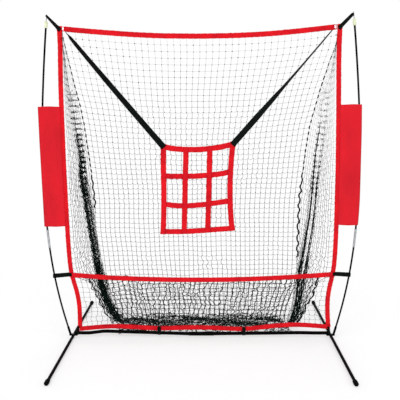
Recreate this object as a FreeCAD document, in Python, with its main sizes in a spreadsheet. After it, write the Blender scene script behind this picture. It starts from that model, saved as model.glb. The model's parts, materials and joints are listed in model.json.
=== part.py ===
# Pitching target net: a folding steel base, two bowed poles, a bordered bag net and a hanging strike-zone grid.
# Millimetres. X runs along the crossbar, the pitcher stands on the -Y side, Z is up, and the floor is Z = 0.
import FreeCAD, Part
import math
import os
import re

import Sketcher

Vector = FreeCAD.Vector
doc = FreeCAD.newDocument("TargetNet")

# Driving dimensions
DIMENSIONS = {
    # legs and their rubber feet
    "leg_offset": 929, "leg_length": 1136, "leg_diameter": 20, "tube_wall": 1.5,
    "foot_diameter": 30, "foot_nose": 20, "foot_grip": 24, "foot_flat": 1, "foot_face": 15, "foot_bevel": 10.5,
    # swivel bolts, nuts and washers
    "bolt_diameter": 8, "bolt_head_diameter": 18, "bolt_head_top": 13, "bolt_head_height": 2.6, "bolt_tail": 2,
    "nut_width": 13, "nut_height": 6.5, "nut_turn": 30, "washer_diameter": 24, "washer_height": 1,
    "washer_ease": 0.2, "swivel_gap": 0.3,
    # hub plates and pole sockets
    "plate_inner": 893, "plate_outer": 955, "plate_width": 27, "plate_height": 3.5, "plate_ease": 0.1,
    "socket_diameter": 16, "socket_bore": 13, "socket_length": 60, "socket_lean": 13.2, "socket_sink": 12,
    # crossbar halves and their sleeve
    "bar_diameter": 24, "bar_end": 909, "bar_heel": 805, "bar_elbow": 700, "left_elbow_height": 55,
    "right_elbow_height": 43, "bar_level_end": 95, "bar_middle_height": 35, "heel_bend": 20, "elbow_bend": 30,
    "sleeve_diameter": 28, "sleeve_length": 180,
    # the poles' centre line, from the socket to the tip
    "pole_diameter": 12, "pole_foot_height": 33, "pole_exit_offset": 962.5, "pole_exit_height": 105,
    "pole_joint_offset": 1052, "pole_joint_height": 748,
    "pole_bulge_offset": 1055.5, "pole_bulge_height": 1173.4,
    "pole_shoulder_offset": 1029.1, "pole_shoulder_height": 1598, "pole_tip_offset": 962.6, "pole_tip_height": 2151,
    "ferrule_length": 128, "ferrule_diameter": 16, "ferrule_bore": 13.4, "ferrule_lean": 2.6,
    "cap_diameter": 21, "cap_bore": 12.2, "cap_length": 40, "cap_cover": 26, "cap_shoulder": 8.4, "cap_crown": 12.6,
    "tip_lean": 8.1, "pin_diameter": 5.5, "pin_length": 42,
    # red webbing round the mouth of the net
    "border_width": 32, "band_width": 35, "border_thickness": 3, "seam_gap": 0.3,
    "corner_offset": 878, "corner_height": 2123, "top_sag": 54, "corner_rise": 4.3,
    "side_bulge_offset": 912, "side_bulge_height": 1250, "band_end_offset": 916, "band_end_height": 485,
    "side_waist_offset": 877, "side_waist_height": 275, "sill_offset": 890, "sill_height": 78,
    "band_sag": 40, "band_end_slant": 6.7, "bar_strap_offset": 303, "sill_low": 74, "sill_crest": 100,
    "sill_crest_offset": 650, "sill_middle": 84.5, "sill_end_rise": 6.5,
    # netting
    "mesh_pitch": 38, "lip_cell_meshes": 4, "bag_cell_meshes": 6, "strand": 6, "net_thickness": 2, "net_gap": 0.8,
    "lip_corner_rise": 6, "bag_depth": 400, "bag_top_depth": 4, "bag_half_width": 630, "bag_top_half_width": 835,
    "bag_top": 2114, "bag_bottom": 30, "side_net_top": 877, "side_net_top_height": 2110, "side_net_sill": 893,
    "side_net_sill_height": 94, "side_net_heel": 637,
    "heap_front": 14, "heap_half_width": 636, "heap_fold_width": 115, "heap_crest": 60, "heap_cloth": 3,
    "heap_clearance": 1,
    # cloth banners over the poles
    "banner_top": 1635, "banner_bottom": 841, "banner_radius": 13, "banner_cloth": 1.2, "banner_seam": 1.8,
    "banner_fold_top": 1038, "banner_fold_middle": 1053, "banner_fold_bottom": 1057.6,
    "banner_inner_top": 909, "banner_inner_middle": 922, "banner_inner_bottom": 927,
    # black webbing straps
    "strap_width": 25, "strap_thickness": 1.8, "loop_ease": 0.5, "loop_lap": 10, "lap_gap": 0.2,
    "corner_loop_lap": 14, "pole_loop_ease": 1.5, "middle_strap_pole": 1030.2, "corner_strap_offset": 879,
    "stitched_skin": 0.6, "corner_lap": 8, "pin_hold": 20.8,
    "pocket_start": 22, "pocket_length": 32, "pocket_width": 16, "pocket_depth": 9,
    # the strike-zone grid and what it hangs from
    "target_left": -274, "target_right": 230, "target_top": 1397, "target_bottom": 790, "strip_width": 37,
    "strip_thickness": 2, "hang_offset": 850, "ring_height": 2112, "ring_radius": 25, "ring_wire": 4,
    "ring_width": 3, "hang_inset": 8, "hang_drop": 10, "hang_lap": 6, "ring_lap": 5,
}
sizes = doc.addObject("Spreadsheet::Sheet", "Sizes")
for row, (alias, size) in enumerate(DIMENSIONS.items(), start=1):
    sizes.set(f"A{row}", alias.replace("_", " "))
    sizes.set(f"B{row}", str(size))
    sizes.setAlias(f"B{row}", alias)
doc.recompute()

HEAP_FOLDS = 3

nodes = []


def number(expression):
    """What an expression on the sheet's cells works out to, as a plain number."""
    found = sizes.evalExpression(str(expression))
    return float(getattr(found, "Value", found))


def linked(expression):
    """The same expression as another object writes it, with the sheet's name before each alias."""
    return re.sub(r"[A-Za-z_]\w*", lambda word: "Sizes." * (word[0] in DIMENSIONS) + word[0], str(expression))


def keep(thing, label):
    """Names a finished piece, which is then written to a file of that name."""
    thing.Label = label
    nodes.append(thing)
    return thing


# Sketches whose points are bound to the sheet

def new_body(label=None):
    """A body, kept as a piece of its own unless it has no label and joins a group."""
    body = doc.addObject("PartDesign::Body", "Body")
    return keep(body, label) if label else body


def new_sketch(body, plane, raised="0"):
    """A sketch on one of the body's own origin planes, moved along the plane's normal."""
    sketch = body.newObject("Sketcher::SketchObject", "Sketch")
    support = next(f for f in body.Origin.OriginFeatures if f.Role == plane)
    sketch.AttachmentSupport = [(support, "")]
    sketch.MapMode = "FlatFace"
    if str(raised) != "0":
        sketch.setExpression("AttachmentOffset.Base.z", linked(raised))
    return sketch


def bind(sketch, kind, expression, *where):
    """A constraint of the given kind that follows an expression."""
    size = number(expression)
    if kind in ("DistanceX", "DistanceY") and size == 0:
        axis = -2 if kind == "DistanceX" else -1
        sketch.addConstraint(Sketcher.Constraint("PointOnObject", where[-2], where[-1], axis))
        return
    index = sketch.addConstraint(Sketcher.Constraint(kind, *where, size))
    sketch.setExpression(f"Constraints[{index}]", linked(expression))


def pin_point(sketch, geometry, end, point):
    bind(sketch, "DistanceX", point[0], -1, 1, geometry, end)
    bind(sketch, "DistanceY", point[1], -1, 1, geometry, end)


def draw_circle(sketch, radius, x="0", y="0"):
    centre = Vector(number(x), number(y), 0)
    index = sketch.addGeometry(Part.Circle(centre, Vector(0, 0, 1), number(radius)))
    bind(sketch, "Radius", radius, index)
    if (str(x), str(y)) == ("0", "0"):
        sketch.addConstraint(Sketcher.Constraint("Coincident", index, 3, -1, 1))
    else:
        pin_point(sketch, index, 3, (x, y))


def tangent_middle(start, heading, end):
    """A point of the arc that leaves start along heading and ends at end, and its heading there."""
    chord = end - start
    side = Vector(-heading.y, heading.x, 0)
    half = math.atan2(chord.dot(side), chord.dot(heading))
    across = Vector(chord.y, -chord.x, 0).normalize()
    middle = start + chord * 0.5 + across * (chord.Length / 2 * math.tan(half / 2))
    turn = FreeCAD.Rotation(Vector(0, 0, 1), math.degrees(2 * half))
    return middle, turn.multVec(heading)


def arc_heading(start, middle, end):
    """The heading at the end of the arc through three points."""
    arc = Part.Arc(start, middle, end)
    along = arc.tangent(arc.parameter(end))[0]
    return along if along.dot(end - middle) > 0 else along * -1


def draw_line(sketch, start, *moves, closed=True):
    """A chain of edges through bound points. A move is ("line", x, y), ("arc", x, y, through x, through y),
    or ("tangent", x, y), an arc that carries on from the edge before it."""
    here = Vector(number(start[0]), number(start[1]), 0)
    origin, heading, before, first = here, None, None, None
    for move in moves:
        there = Vector(number(move[1]), number(move[2]), 0)
        ends = (1, 2)
        if move[0] == "line":
            index = sketch.addGeometry(Part.LineSegment(here, there))
            heading = (there - here).normalize()
        else:
            if move[0] == "arc":
                middle = Vector(number(move[3]), number(move[4]), 0)
                heading = arc_heading(here, middle, there)
            else:
                middle, heading = tangent_middle(here, heading, there)
            index = sketch.addGeometry(Part.Arc(here, middle, there))
            if sketch.getPoint(index, 1).distanceToPoint(here) > sketch.getPoint(index, 2).distanceToPoint(here):
                ends = (2, 1)
        if before is None:
            first = (index, ends[0])
            pin_point(sketch, index, ends[0], start)
        elif move[0] == "tangent":
            sketch.addConstraint(Sketcher.Constraint("Tangent", *before, index, ends[0]))
        else:
            sketch.addConstraint(Sketcher.Constraint("Coincident", *before, index, ends[0]))
        if move[0] == "arc":
            middle_point = sketch.addGeometry(Part.Point(middle), True)
            pin_point(sketch, middle_point, 1, move[3:])
            sketch.addConstraint(Sketcher.Constraint("PointOnObject", middle_point, 1, index))
        before = (index, ends[1])
        here = there
        if move is moves[-1] and closed and there.distanceToPoint(origin) < 1e-6:
            sketch.addConstraint(Sketcher.Constraint("Coincident", *before, *first))
        else:
            pin_point(sketch, index, ends[1], move[1:3])


def draw_box(sketch, left, right, low, high):
    draw_line(sketch, (left, low), ("line", right, low), ("line", right, high), ("line", left, high),
              ("line", left, low))


def feature(body, kind, **settings):
    made = body.newObject("PartDesign::" + kind, kind)
    for name, setting in settings.items():
        setattr(made, name, setting)
    return made


def pad(body, sketch, length, both_ways=True):
    made = feature(body, "Pad", Profile=sketch, Midplane=both_ways)
    made.setExpression("Length", linked(length))
    return made


def pocket(body, sketch, length):
    made = feature(body, "Pocket", Profile=sketch, Midplane=True)
    made.setExpression("Length", linked(length))
    return made


def place(thing, x="0", y="0", z="0", axis=None, angle="0"):
    for name, expression in (("x", x), ("y", y), ("z", z)):
        if str(expression) != "0":
            thing.setExpression("Placement.Base." + name, linked(expression))
    if axis is not None:
        thing.Placement = FreeCAD.Placement(thing.Placement.Base, FreeCAD.Rotation(Vector(*axis), number(angle)))
        thing.setExpression("Placement.Rotation.Angle", linked(angle))
    return thing


def primitive(kind, **expressions):
    made = doc.addObject("Part::" + kind, kind)
    for name, expression in expressions.items():
        made.setExpression(name, linked(expression))
    return made


def revolve(body, outline, role):
    axis = next(f for f in body.Origin.OriginFeatures if f.Role == role)
    feature(body, "Revolution", Profile=outline, ReferenceAxis=(axis, [""]), Angle=360)


def group(label, *things):
    """One node that holds several alike pieces as separate solids."""
    gathered = doc.addObject("Part::Compound", "Group")
    gathered.Links = list(things)
    keep(gathered, label)


def pipe_along(body, points, radius, kind="AdditivePipe"):
    """A rod, or the bore of a tube, along a path in the XZ plane, with its section square to the path's start."""
    path = new_sketch(body, "XZ_Plane")
    draw_line(path, *points, closed=False)
    doc.recompute()
    start = Vector(number(points[0][0]), 0, number(points[0][1]))
    vertices = path.Shape.Vertexes
    first = min(range(len(vertices)), key=lambda i: vertices[i].Point.distanceToPoint(start))
    section = body.newObject("Sketcher::SketchObject", "Section")
    section.AttachmentSupport = [(path, f"Vertex{first + 1}"), (path, "Edge1")]
    section.MapMode = "NormalToEdge"
    draw_circle(section, radius)
    edges = [f"Edge{i + 1}" for i in range(len(points) - 1)]
    feature(body, kind, Profile=section, Spine=(path, edges), Transition="Right corner")


# Legs: tubes drilled at mid-length, with rubber bulbs on both ends

leg_height = "(foot_diameter / 2 - foot_flat)"
leg_top = f"{leg_height} + leg_diameter / 2"


def leg(side, name):
    body = new_body(name + "_leg")
    section = new_sketch(body, "XZ_Plane")
    draw_circle(section, "leg_diameter / 2")
    draw_circle(section, "leg_diameter / 2 - tube_wall")
    pad(body, section, "leg_length")
    drilling = new_sketch(body, "XY_Plane")
    draw_circle(drilling, "bolt_diameter / 2 + swivel_gap")
    pocket(body, drilling, "leg_diameter * 2")
    place(body, f"{side} * leg_offset", "0", leg_height)


def foot(side, end):
    """A bulb on the leg's end, with a flat worn sole."""
    body = new_body()
    outline = new_sketch(body, "YZ_Plane")
    seat, grip, nose = "leg_length / 2", "leg_length / 2 - foot_grip", "leg_length / 2 + foot_nose"
    bore, full, face = "leg_diameter / 2", "foot_diameter / 2", "foot_face / 2"
    bevel = [f"{nose} - foot_bevel * {away}" for away in (1 - math.sqrt(0.5), 1)]
    draw_line(outline, (f"{end} * ({nose})", "0"),
              ("line", f"{end} * ({nose})", face),
              ("line", f"{end} * ({bevel[0]})", f"{face} + ({full} - {face}) * {math.sqrt(0.5)}"),
              ("line", f"{end} * ({bevel[1]})", full),
              ("line", f"{end} * ({grip})", full),
              ("line", f"{end} * ({grip})", bore),
              ("line", f"{end} * ({seat})", bore),
              ("line", f"{end} * ({seat})", "0"),
              ("line", f"{end} * ({nose})", "0"))
    revolve(body, outline, "Y_Axis")
    sole = new_sketch(body, "XY_Plane", f"-{leg_height}")
    draw_box(sole, f"-{full}", full, f"{end} * ({grip}) - foot_diameter", f"{end} * ({grip}) + foot_diameter * 2")
    cut = feature(body, "Pocket", Profile=sole)
    cut.setExpression("Length", linked("foot_flat * 2"))
    return place(body, f"{side} * leg_offset", "0", leg_height)


# Hubs: swivel bolt, nut, washer, plate and the socket that the pole stands in. Each comes once for each side.

plate_low = f"{leg_top} + swivel_gap + washer_height"
plate_high = f"{plate_low} + plate_height"


def swivel_bolt(side):
    body = new_body()
    outline = new_sketch(body, "XZ_Plane")
    under_head = f"{leg_height} - leg_diameter / 2 - swivel_gap"
    shank, end = "bolt_diameter / 2", f"{plate_high} + nut_height + bolt_tail"
    draw_line(outline, ("0", f"{under_head} - bolt_head_height"),
              ("line", "bolt_head_top / 2", f"{under_head} - bolt_head_height"),
              ("line", "bolt_head_diameter / 2", under_head), ("line", shank, under_head),
              ("line", shank, end), ("line", "0", end), ("line", "0", f"{under_head} - bolt_head_height"))
    revolve(body, outline, "Z_Axis")
    return place(body, f"{side} * leg_offset")


def nut(side):
    hexagon = primitive("Prism", Circumradius="nut_width / sqrt(3)", Height="nut_height")
    hexagon.Polygon = 6
    hole = primitive("Cylinder", Radius="bolt_diameter / 2", Height="nut_height")
    made = doc.addObject("Part::Cut", "Nut")
    made.Base, made.Tool = hexagon, hole
    return place(made, f"{side} * leg_offset", "0", plate_high, (0, 0, 1), "nut_turn")


def washer(side):
    disc = primitive("Cylinder", Radius="washer_diameter / 2", Height="washer_height")
    hole = primitive("Cylinder", Radius="bolt_diameter / 2 + washer_ease", Height="washer_height")
    made = doc.addObject("Part::Cut", "Washer")
    made.Base, made.Tool = disc, hole
    return place(made, f"{side} * leg_offset", "0", f"{leg_top} + swivel_gap")


def hub_plate(side):
    body = new_body()
    outline = new_sketch(body, "XY_Plane")
    near, far, half = f"{side} * plate_inner", f"{side} * plate_outer", "plate_width / 2"
    shoulder = f"{side} * (plate_outer - plate_width / 2)"
    draw_line(outline, (near, f"-({half})"), ("line", shoulder, f"-({half})"),
              ("arc", shoulder, half, far, "0"), ("line", near, half), ("line", near, f"-({half})"))
    draw_circle(outline, "bolt_diameter / 2 + plate_ease", f"{side} * leg_offset")
    pad(body, outline, "plate_height", both_ways=False)
    return place(body, "0", "0", plate_low)


def pole_socket(side):
    """A tube round the pole's foot, sawn off level where it is welded to the plate."""
    tube = primitive("Cylinder", Radius="socket_diameter / 2", Height="socket_length + socket_sink")
    bore = primitive("Cylinder", Radius="socket_bore / 2", Height="socket_length + socket_sink")
    hollow = doc.addObject("Part::Cut", "SocketTube")
    hollow.Base, hollow.Tool = tube, bore
    offset = f"(pole_exit_offset - (pole_exit_height - ({plate_high})) * tan(socket_lean))"
    place(hollow, f"{side} * ({offset} - socket_sink * sin(socket_lean))", "0",
          f"{plate_high} - socket_sink * cos(socket_lean)", (0, side, 0), "socket_lean")
    ground = primitive("Box", Length="plate_width * 2", Width="plate_width * 2", Height="plate_width")
    place(ground, f"{side} * {offset} - plate_width", "-plate_width", f"{plate_high} - plate_width")
    seated = doc.addObject("Part::Cut", "PoleSocket")
    seated.Base, seated.Tool = hollow, ground
    return seated


# Crossbar: two bent halves that meet inside a sleeve

bar_height = f"{plate_high} + bar_diameter / 2"


def elbow_height(side):
    return "right_elbow_height" if side > 0 else "left_elbow_height"


def towards(start, end, reach):
    """The point that lies this far from start on the way to end."""
    run, rise = f"(({end[0]}) - ({start[0]}))", f"(({end[1]}) - ({start[1]}))"
    part = f"{reach} / sqrt({run} * {run} + {rise} * {rise})"
    return f"{start[0]} + {run} * {part}", f"{start[1]} + {rise} * {part}"


def crossbar(side, name):
    body = new_body(name + "_crossbar")
    end, heel = (f"{side} * bar_end", bar_height), (f"{side} * bar_heel", bar_height)
    elbow, level_end = (f"{side} * bar_elbow", elbow_height(side)), (f"{side} * bar_level_end", "bar_middle_height")
    points = [end, ("line", *towards(heel, end, "heel_bend")), ("tangent", *towards(heel, elbow, "heel_bend")),
              ("line", *towards(elbow, heel, "elbow_bend")), ("tangent", *towards(elbow, level_end, "elbow_bend")),
              ("line", *level_end), ("line", "0", "bar_middle_height")]
    pipe_along(body, points, "bar_diameter / 2")
    bore = [end, ("line", *heel), ("line", *elbow), ("line", *level_end), ("line", "0", "bar_middle_height")]
    pipe_along(body, bore, "bar_diameter / 2 - tube_wall", "SubtractivePipe")


def crossbar_sleeve():
    body = new_body("crossbar_sleeve")
    section = new_sketch(body, "YZ_Plane")
    draw_circle(section, "sleeve_diameter / 2", "0", "bar_middle_height")
    draw_circle(section, "bar_diameter / 2", "0", "bar_middle_height")
    pad(body, section, "sleeve_length")


# Poles: two bowed sections joined in a steel ferrule, with a cap and a thin pin at the tip

def lower_pole(side, name):
    body = new_body(name + "_lower_pole")
    drop = "(pole_exit_height - pole_foot_height)"
    points = [(f"{side} * (pole_exit_offset - {drop} * tan(socket_lean))", "pole_foot_height"),
              ("line", f"{side} * pole_exit_offset", "pole_exit_height"),
              ("tangent", f"{side} * pole_joint_offset", "pole_joint_height")]
    pipe_along(body, points, "pole_diameter / 2")


def upper_pole(side, name):
    body = new_body(name + "_upper_pole")
    points = [(f"{side} * pole_joint_offset", "pole_joint_height"),
              ("arc", f"{side} * pole_shoulder_offset", "pole_shoulder_height",
               f"{side} * pole_bulge_offset", "pole_bulge_height"),
              ("tangent", f"{side} * pole_tip_offset", "pole_tip_height")]
    pipe_along(body, points, "pole_diameter / 2")


def ferrule(side, name):
    outer = primitive("Cylinder", Radius="ferrule_diameter / 2", Height="ferrule_length")
    bore = primitive("Cylinder", Radius="ferrule_bore / 2", Height="ferrule_length")
    made = doc.addObject("Part::Cut", "Ferrule")
    made.Base, made.Tool = outer, bore
    half = "ferrule_length / 2"
    place(made, f"{side} * (pole_joint_offset - {half} * sin(ferrule_lean))", "0",
          f"pole_joint_height - {half} * cos(ferrule_lean)", (0, side, 0), "ferrule_lean")
    keep(made, name + "_ferrule")


def tip_cap(side):
    body = new_body()
    outline = new_sketch(body, "XZ_Plane")
    crown, wall, bore = "cap_length - cap_cover", "cap_diameter / 2", "cap_bore / 2"
    draw_line(outline, (bore, "-cap_cover"), ("line", wall, "-cap_cover"), ("line", wall, "cap_shoulder"),
              ("line", "cap_crown / 2", crown), ("line", "0", crown), ("line", "0", "0"), ("line", bore, "0"),
              ("line", bore, "-cap_cover"))
    revolve(body, outline, "Z_Axis")
    return place(body, f"{side} * pole_tip_offset", "0", "pole_tip_height", (0, -side, 0), "tip_lean")


def along_tip(side, distance):
    """Where a point this far past the pole's end lies, on the line of the pole's tip."""
    return (f"{side} * (pole_tip_offset - ({distance}) * sin(tip_lean))",
            f"pole_tip_height + ({distance}) * cos(tip_lean)")


def tip_pin(side, name):
    pin = primitive("Cylinder", Radius="pin_diameter / 2", Height="pin_length")
    x, z = along_tip(side, "cap_length - cap_cover")
    keep(place(pin, x, "0", z, (0, -side, 0), "tip_lean"), name + "_tip_pin")


# Red webbing round the mouth: each border is flat tape, bowed as the frame pulls it

half_tape = "border_width / 2"
half_band = "band_width / 2"


def tape(label, start, *moves):
    body = new_body(label)
    outline = new_sketch(body, "XZ_Plane")
    draw_line(outline, start, *moves)
    pad(body, outline, "border_thickness")


def top_border():
    end = f"(corner_offset + {half_tape})"
    low, high = f"corner_height - {half_tape}", f"corner_height + {half_tape}"
    tape("top_border", (f"-{end}", low), ("arc", end, low, "0", f"{low} - top_sag"), ("line", end, high),
         ("arc", f"-{end}", high, "0", f"{high} - top_sag"), ("line", f"-{end}", low))


def side_border(side, name):
    outer, inner = f" + {half_tape})", f" - {half_tape})"
    top, sill = f"corner_height - {half_tape}", f"sill_height + {half_band}"
    tape(name + "_border", (f"{side} * (corner_offset" + outer, f"{top} - seam_gap"),
         ("arc", f"{side} * (band_end_offset" + outer, "band_end_height",
          f"{side} * (side_bulge_offset" + outer, "side_bulge_height"),
         ("arc", f"{side} * (sill_offset" + outer, f"{sill} + seam_gap",
          f"{side} * (side_waist_offset" + outer, "side_waist_height"),
         ("line", f"{side} * (sill_offset" + inner, f"{sill} + sill_end_rise"),
         ("arc", f"{side} * (band_end_offset" + inner, "band_end_height",
          f"{side} * (side_waist_offset" + inner, "side_waist_height"),
         ("arc", f"{side} * (corner_offset" + inner, f"{top} - corner_rise",
          f"{side} * (side_bulge_offset" + inner, "side_bulge_height"),
         ("line", f"{side} * (corner_offset" + outer, f"{top} - seam_gap"))


def middle_band():
    low, high = f"band_end_height - {half_band}", f"band_end_height + {half_band}"
    far = f"(band_end_offset - {half_tape} - seam_gap)"
    near = f"({far} - band_end_slant)"
    tape("middle_band", (f"-{near}", low), ("arc", near, low, "0", f"{low} - band_sag"), ("line", far, high),
         ("arc", f"-{far}", high, "0", f"{high} - band_sag"), ("line", f"-{near}", low))


def sill_edge(lift, end):
    """The bottom border's scalloped edge from right to left, at a height above its middle line."""
    crest, low, middle = f"sill_crest {lift}", f"sill_low {lift}", f"sill_middle {lift}"
    return [("arc", "bar_strap_offset", low, "sill_crest_offset", crest),
            ("arc", "-bar_strap_offset", low, "0", middle),
            ("arc", f"-({end[0]})", end[1], "-sill_crest_offset", crest)]


def bottom_border():
    end = f"sill_offset + {half_tape}"
    high = (end, f"sill_height + {half_band}")
    low = (end, f"sill_height - {half_band}")
    upper = sill_edge(f"+ {half_band}", high)
    lower = sill_edge(f"- {half_band}", low)
    back = [("line", f"-({end})", low[1]),
            ("arc", "-bar_strap_offset", lower[1][2], "-sill_crest_offset", lower[0][4]),
            ("arc", "bar_strap_offset", lower[1][2], "0", lower[1][4]),
            ("arc", end, low[1], "sill_crest_offset", lower[0][4]),
            ("line", end, high[1])]
    tape("bottom_border", high, *upper, *back)


# Netting: each panel is one flat face with a gap for every few meshes, so that it stays light

def net_panel(label, outline, meshes, origin, along, upward):
    """A holed panel. Its outline is a flat wire in the panel's own X (along) and Y (upward)."""
    strand, thickness, net_cell = number("strand"), number("net_thickness"), number(f"{meshes} * mesh_pitch")
    sheet = Part.Face(outline)
    inside = Part.Face(sheet.makeOffset2D(-strand).Wires[0])
    box = inside.BoundBox
    gaps = []
    columns = math.ceil(box.XLength / net_cell)
    rows = math.ceil(box.YLength / net_cell)
    left = box.Center.x - columns * net_cell / 2
    for row in range(rows):
        for column in range(columns):
            corner = Vector(left + column * net_cell + strand / 2, box.YMax - (row + 1) * net_cell + strand, 0)
            gap = Part.makePlane(net_cell - strand, net_cell - strand, corner)
            for piece in gap.common(inside).Faces:
                if piece.Area > 6 * strand * strand:
                    gaps.append(piece)
    panel = sheet.cut(Part.makeCompound(gaps)).Faces[0].extrude(Vector(0, 0, thickness))
    across = along.cross(upward)
    made = doc.addObject("Part::Feature", "Net")
    made.Shape = panel
    made.Placement = FreeCAD.Placement(origin, FreeCAD.Rotation(along, upward, across, "XYZ"))
    keep(made, label)
    return len(gaps)


def flat_wire(*edges):
    """A closed wire through flat points; an edge is (start, end) or (start, middle, end)."""
    made = []
    for edge in edges:
        points = [Vector(number(x), number(y), 0) for x, y in edge]
        made.append(Part.LineSegment(*points) if len(points) == 2 else Part.Arc(*points))
    return Part.Wire([one.toShape() for one in made])


def lip_net():
    top = f"band_end_height - {half_band} - net_gap"
    low = f"sill_height + {half_band} + lip_corner_rise"
    waist = f"side_waist_offset - {half_tape} - net_gap"
    top_end = f"band_end_offset - {half_tape} - band_end_slant - net_gap"
    low_end = f"sill_offset - {half_tape} - net_gap"
    crest, dip = f"sill_crest + {half_band} + net_gap", f"sill_low + {half_band} + net_gap"
    outline = flat_wire(
        ((top_end, top), ("0", f"{top} - band_sag"), (f"-({top_end})", top)),
        ((f"-({top_end})", top), (f"-({waist})", "side_waist_height"), (f"-({low_end})", low)),
        ((f"-({low_end})", low), ("-sill_crest_offset", crest), ("-bar_strap_offset", dip)),
        (("-bar_strap_offset", dip), ("0", f"sill_middle + {half_band} + net_gap"), ("bar_strap_offset", dip)),
        (("bar_strap_offset", dip), ("sill_crest_offset", crest), (low_end, low)),
        ((low_end, low), (waist, "side_waist_height"), (top_end, top)))
    origin = Vector(0, number("net_thickness / 2"), 0)
    return net_panel("lip_net", outline, "lip_cell_meshes", origin, Vector(1, 0, 0), Vector(0, 0, 1))


def back_net():
    foot = Vector(0, number("bag_depth"), number("bag_bottom"))
    head = Vector(0, number("bag_top_depth"), number("bag_top"))
    length = (head - foot).Length
    outline = flat_wire(
        (("-bag_half_width", "0"), ("bag_half_width", "0")),
        (("bag_half_width", "0"), ("bag_top_half_width", length)),
        (("bag_top_half_width", length), ("0", f"{length} - top_sag"), ("-bag_top_half_width", length)),
        (("-bag_top_half_width", length), ("-bag_half_width", "0")))
    return net_panel("back_net", outline, "bag_cell_meshes", foot, Vector(1, 0, 0), (head - foot).normalize())


def side_net(side, name):
    sill = Vector(side * number("side_net_sill"), number("bag_top_depth"), number("side_net_sill_height"))
    top = Vector(side * number("side_net_top"), number("bag_top_depth"), number("side_net_top_height"))
    heel = Vector(side * number("side_net_heel"), number("bag_depth"), number("bag_bottom"))
    up = (top - sill).normalize()
    inward = heel - sill
    rise = inward.dot(up)
    across = (inward - up * rise).normalize()
    reach = inward.dot(across)
    outline = flat_wire((("0", "0"), ((top - sill).Length, "0")), (((top - sill).Length, "0"), (rise, reach)),
                        ((rise, reach), ("0", "0")))
    return net_panel(name + "_side_net", outline, "bag_cell_meshes", sill, up, across)


def floor_net():
    """The spare netting, which lies in long folds on the floor behind the bottom border."""
    body = new_body("floor_net")
    outline = new_sketch(body, "YZ_Plane")
    over, under = [], []
    for fold in range(HEAP_FOLDS):
        near, far = f"heap_front + {fold} * heap_fold_width", f"heap_front + {fold + 1} * heap_fold_width"
        middle = f"heap_front + {fold + 0.5} * heap_fold_width"
        over.append(("arc", far, "heap_clearance + heap_cloth", middle, "heap_crest"))
        under.insert(0, ("arc", near, "heap_clearance", middle, "heap_crest - heap_cloth"))
    back = f"heap_front + {HEAP_FOLDS} * heap_fold_width"
    draw_line(outline, ("heap_front", "heap_clearance"), ("line", "heap_front", "heap_clearance + heap_cloth"),
              *over, ("line", back, "heap_clearance"), *under)
    pad(body, outline, "heap_half_width * 2")


# Cloth banners: a fold of cloth round each pole, whose two layers are sewn to the side border

def banner_section(body, side, height, inner, fold):
    section = new_sketch(body, "XY_Plane", height)
    outer = "banner_radius"
    lining = "(banner_radius - banner_cloth)"
    near = f"{side} * ({inner})"
    middle = f"{side} * ({fold})"

    def round_half(radius, way):
        far = f"{side} * ({fold} + {radius})"
        slant = f"{side} * ({fold} + {radius} * sqrt(0.5))"
        return [("arc", far, "0", slant, f"{way} * {radius} * sqrt(0.5)"),
                ("arc", middle, f"-({way}) * {radius}", slant, f"-({way}) * {radius} * sqrt(0.5)")]

    draw_line(section, (near, "-banner_seam - banner_cloth"), ("line", middle, f"-{outer}"), *round_half(outer, -1),
              ("line", near, "banner_seam + banner_cloth"), ("line", near, "banner_seam"), ("line", middle, lining),
              *round_half(lining, 1), ("line", near, "-banner_seam"),
              ("line", near, "-banner_seam - banner_cloth"))
    return section


def banner(side, name):
    body = new_body(name + "_banner")
    low = banner_section(body, side, "banner_bottom", "banner_inner_bottom", "banner_fold_bottom")
    middle = banner_section(body, side, "pole_bulge_height", "banner_inner_middle", "banner_fold_middle")
    high = banner_section(body, side, "banner_top", "banner_inner_top", "banner_fold_top")
    doc.recompute()
    feature(body, "AdditiveLoft", Profile=low, Sections=[middle, high], Ruled=True)


# Black webbing straps. A loop goes round a bar or a pole, and its two ends are sewn over the tape's two faces.

def loop_strap(plane, centre, wrapped, end, width_start):
    """A U of webbing round a circle at centre, with both ends at end, padded to the strap's width.
    Centre and end are points of the sketch, one of whose coordinates they share."""
    body = new_body()
    outline = new_sketch(body, plane, width_start)
    inner = f"({wrapped} + loop_ease)"
    outer = f"({wrapped} + loop_ease + strap_thickness)"
    gap = "(border_thickness / 2 + lap_gap)"
    level = centre[1] == end[1]
    way = 1 if number(end[0 if level else 1]) > number(centre[0 if level else 1]) else -1

    def point(along, across):
        base = centre[0] if level else centre[1]
        shifted = f"{base} + ({along})"
        return (shifted, f"{centre[1]} + ({across})") if level else (f"{centre[0]} + ({across})", shifted)

    def ending(across):
        return (end[0], f"{end[1]} + ({across})") if level else (f"{end[0]} + ({across})", end[1])

    draw_line(outline, ending(f"-{gap} - strap_thickness"),
              ("line", *point("0", f"-{outer}")),
              ("arc", *point("0", outer), *point(f"-({way}) * {outer}", "0")),
              ("line", *ending(f"{gap} + strap_thickness")),
              ("line", *ending(gap)),
              ("line", *point("0", inner)),
              ("arc", *point("0", f"-{inner}"), *point(f"-({way}) * {inner}", "0")),
              ("line", *ending(f"-{gap}")),
              ("line", *ending(f"-{gap} - strap_thickness")))
    pad(body, outline, "strap_width")
    return body


def middle_strap(side):
    return loop_strap("XY_Plane", (f"{side} * middle_strap_pole", "0"), "pole_diameter / 2 + pole_loop_ease",
                      (f"{side} * (band_end_offset + {half_tape} - loop_lap)", "0"), "band_end_height")


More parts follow.
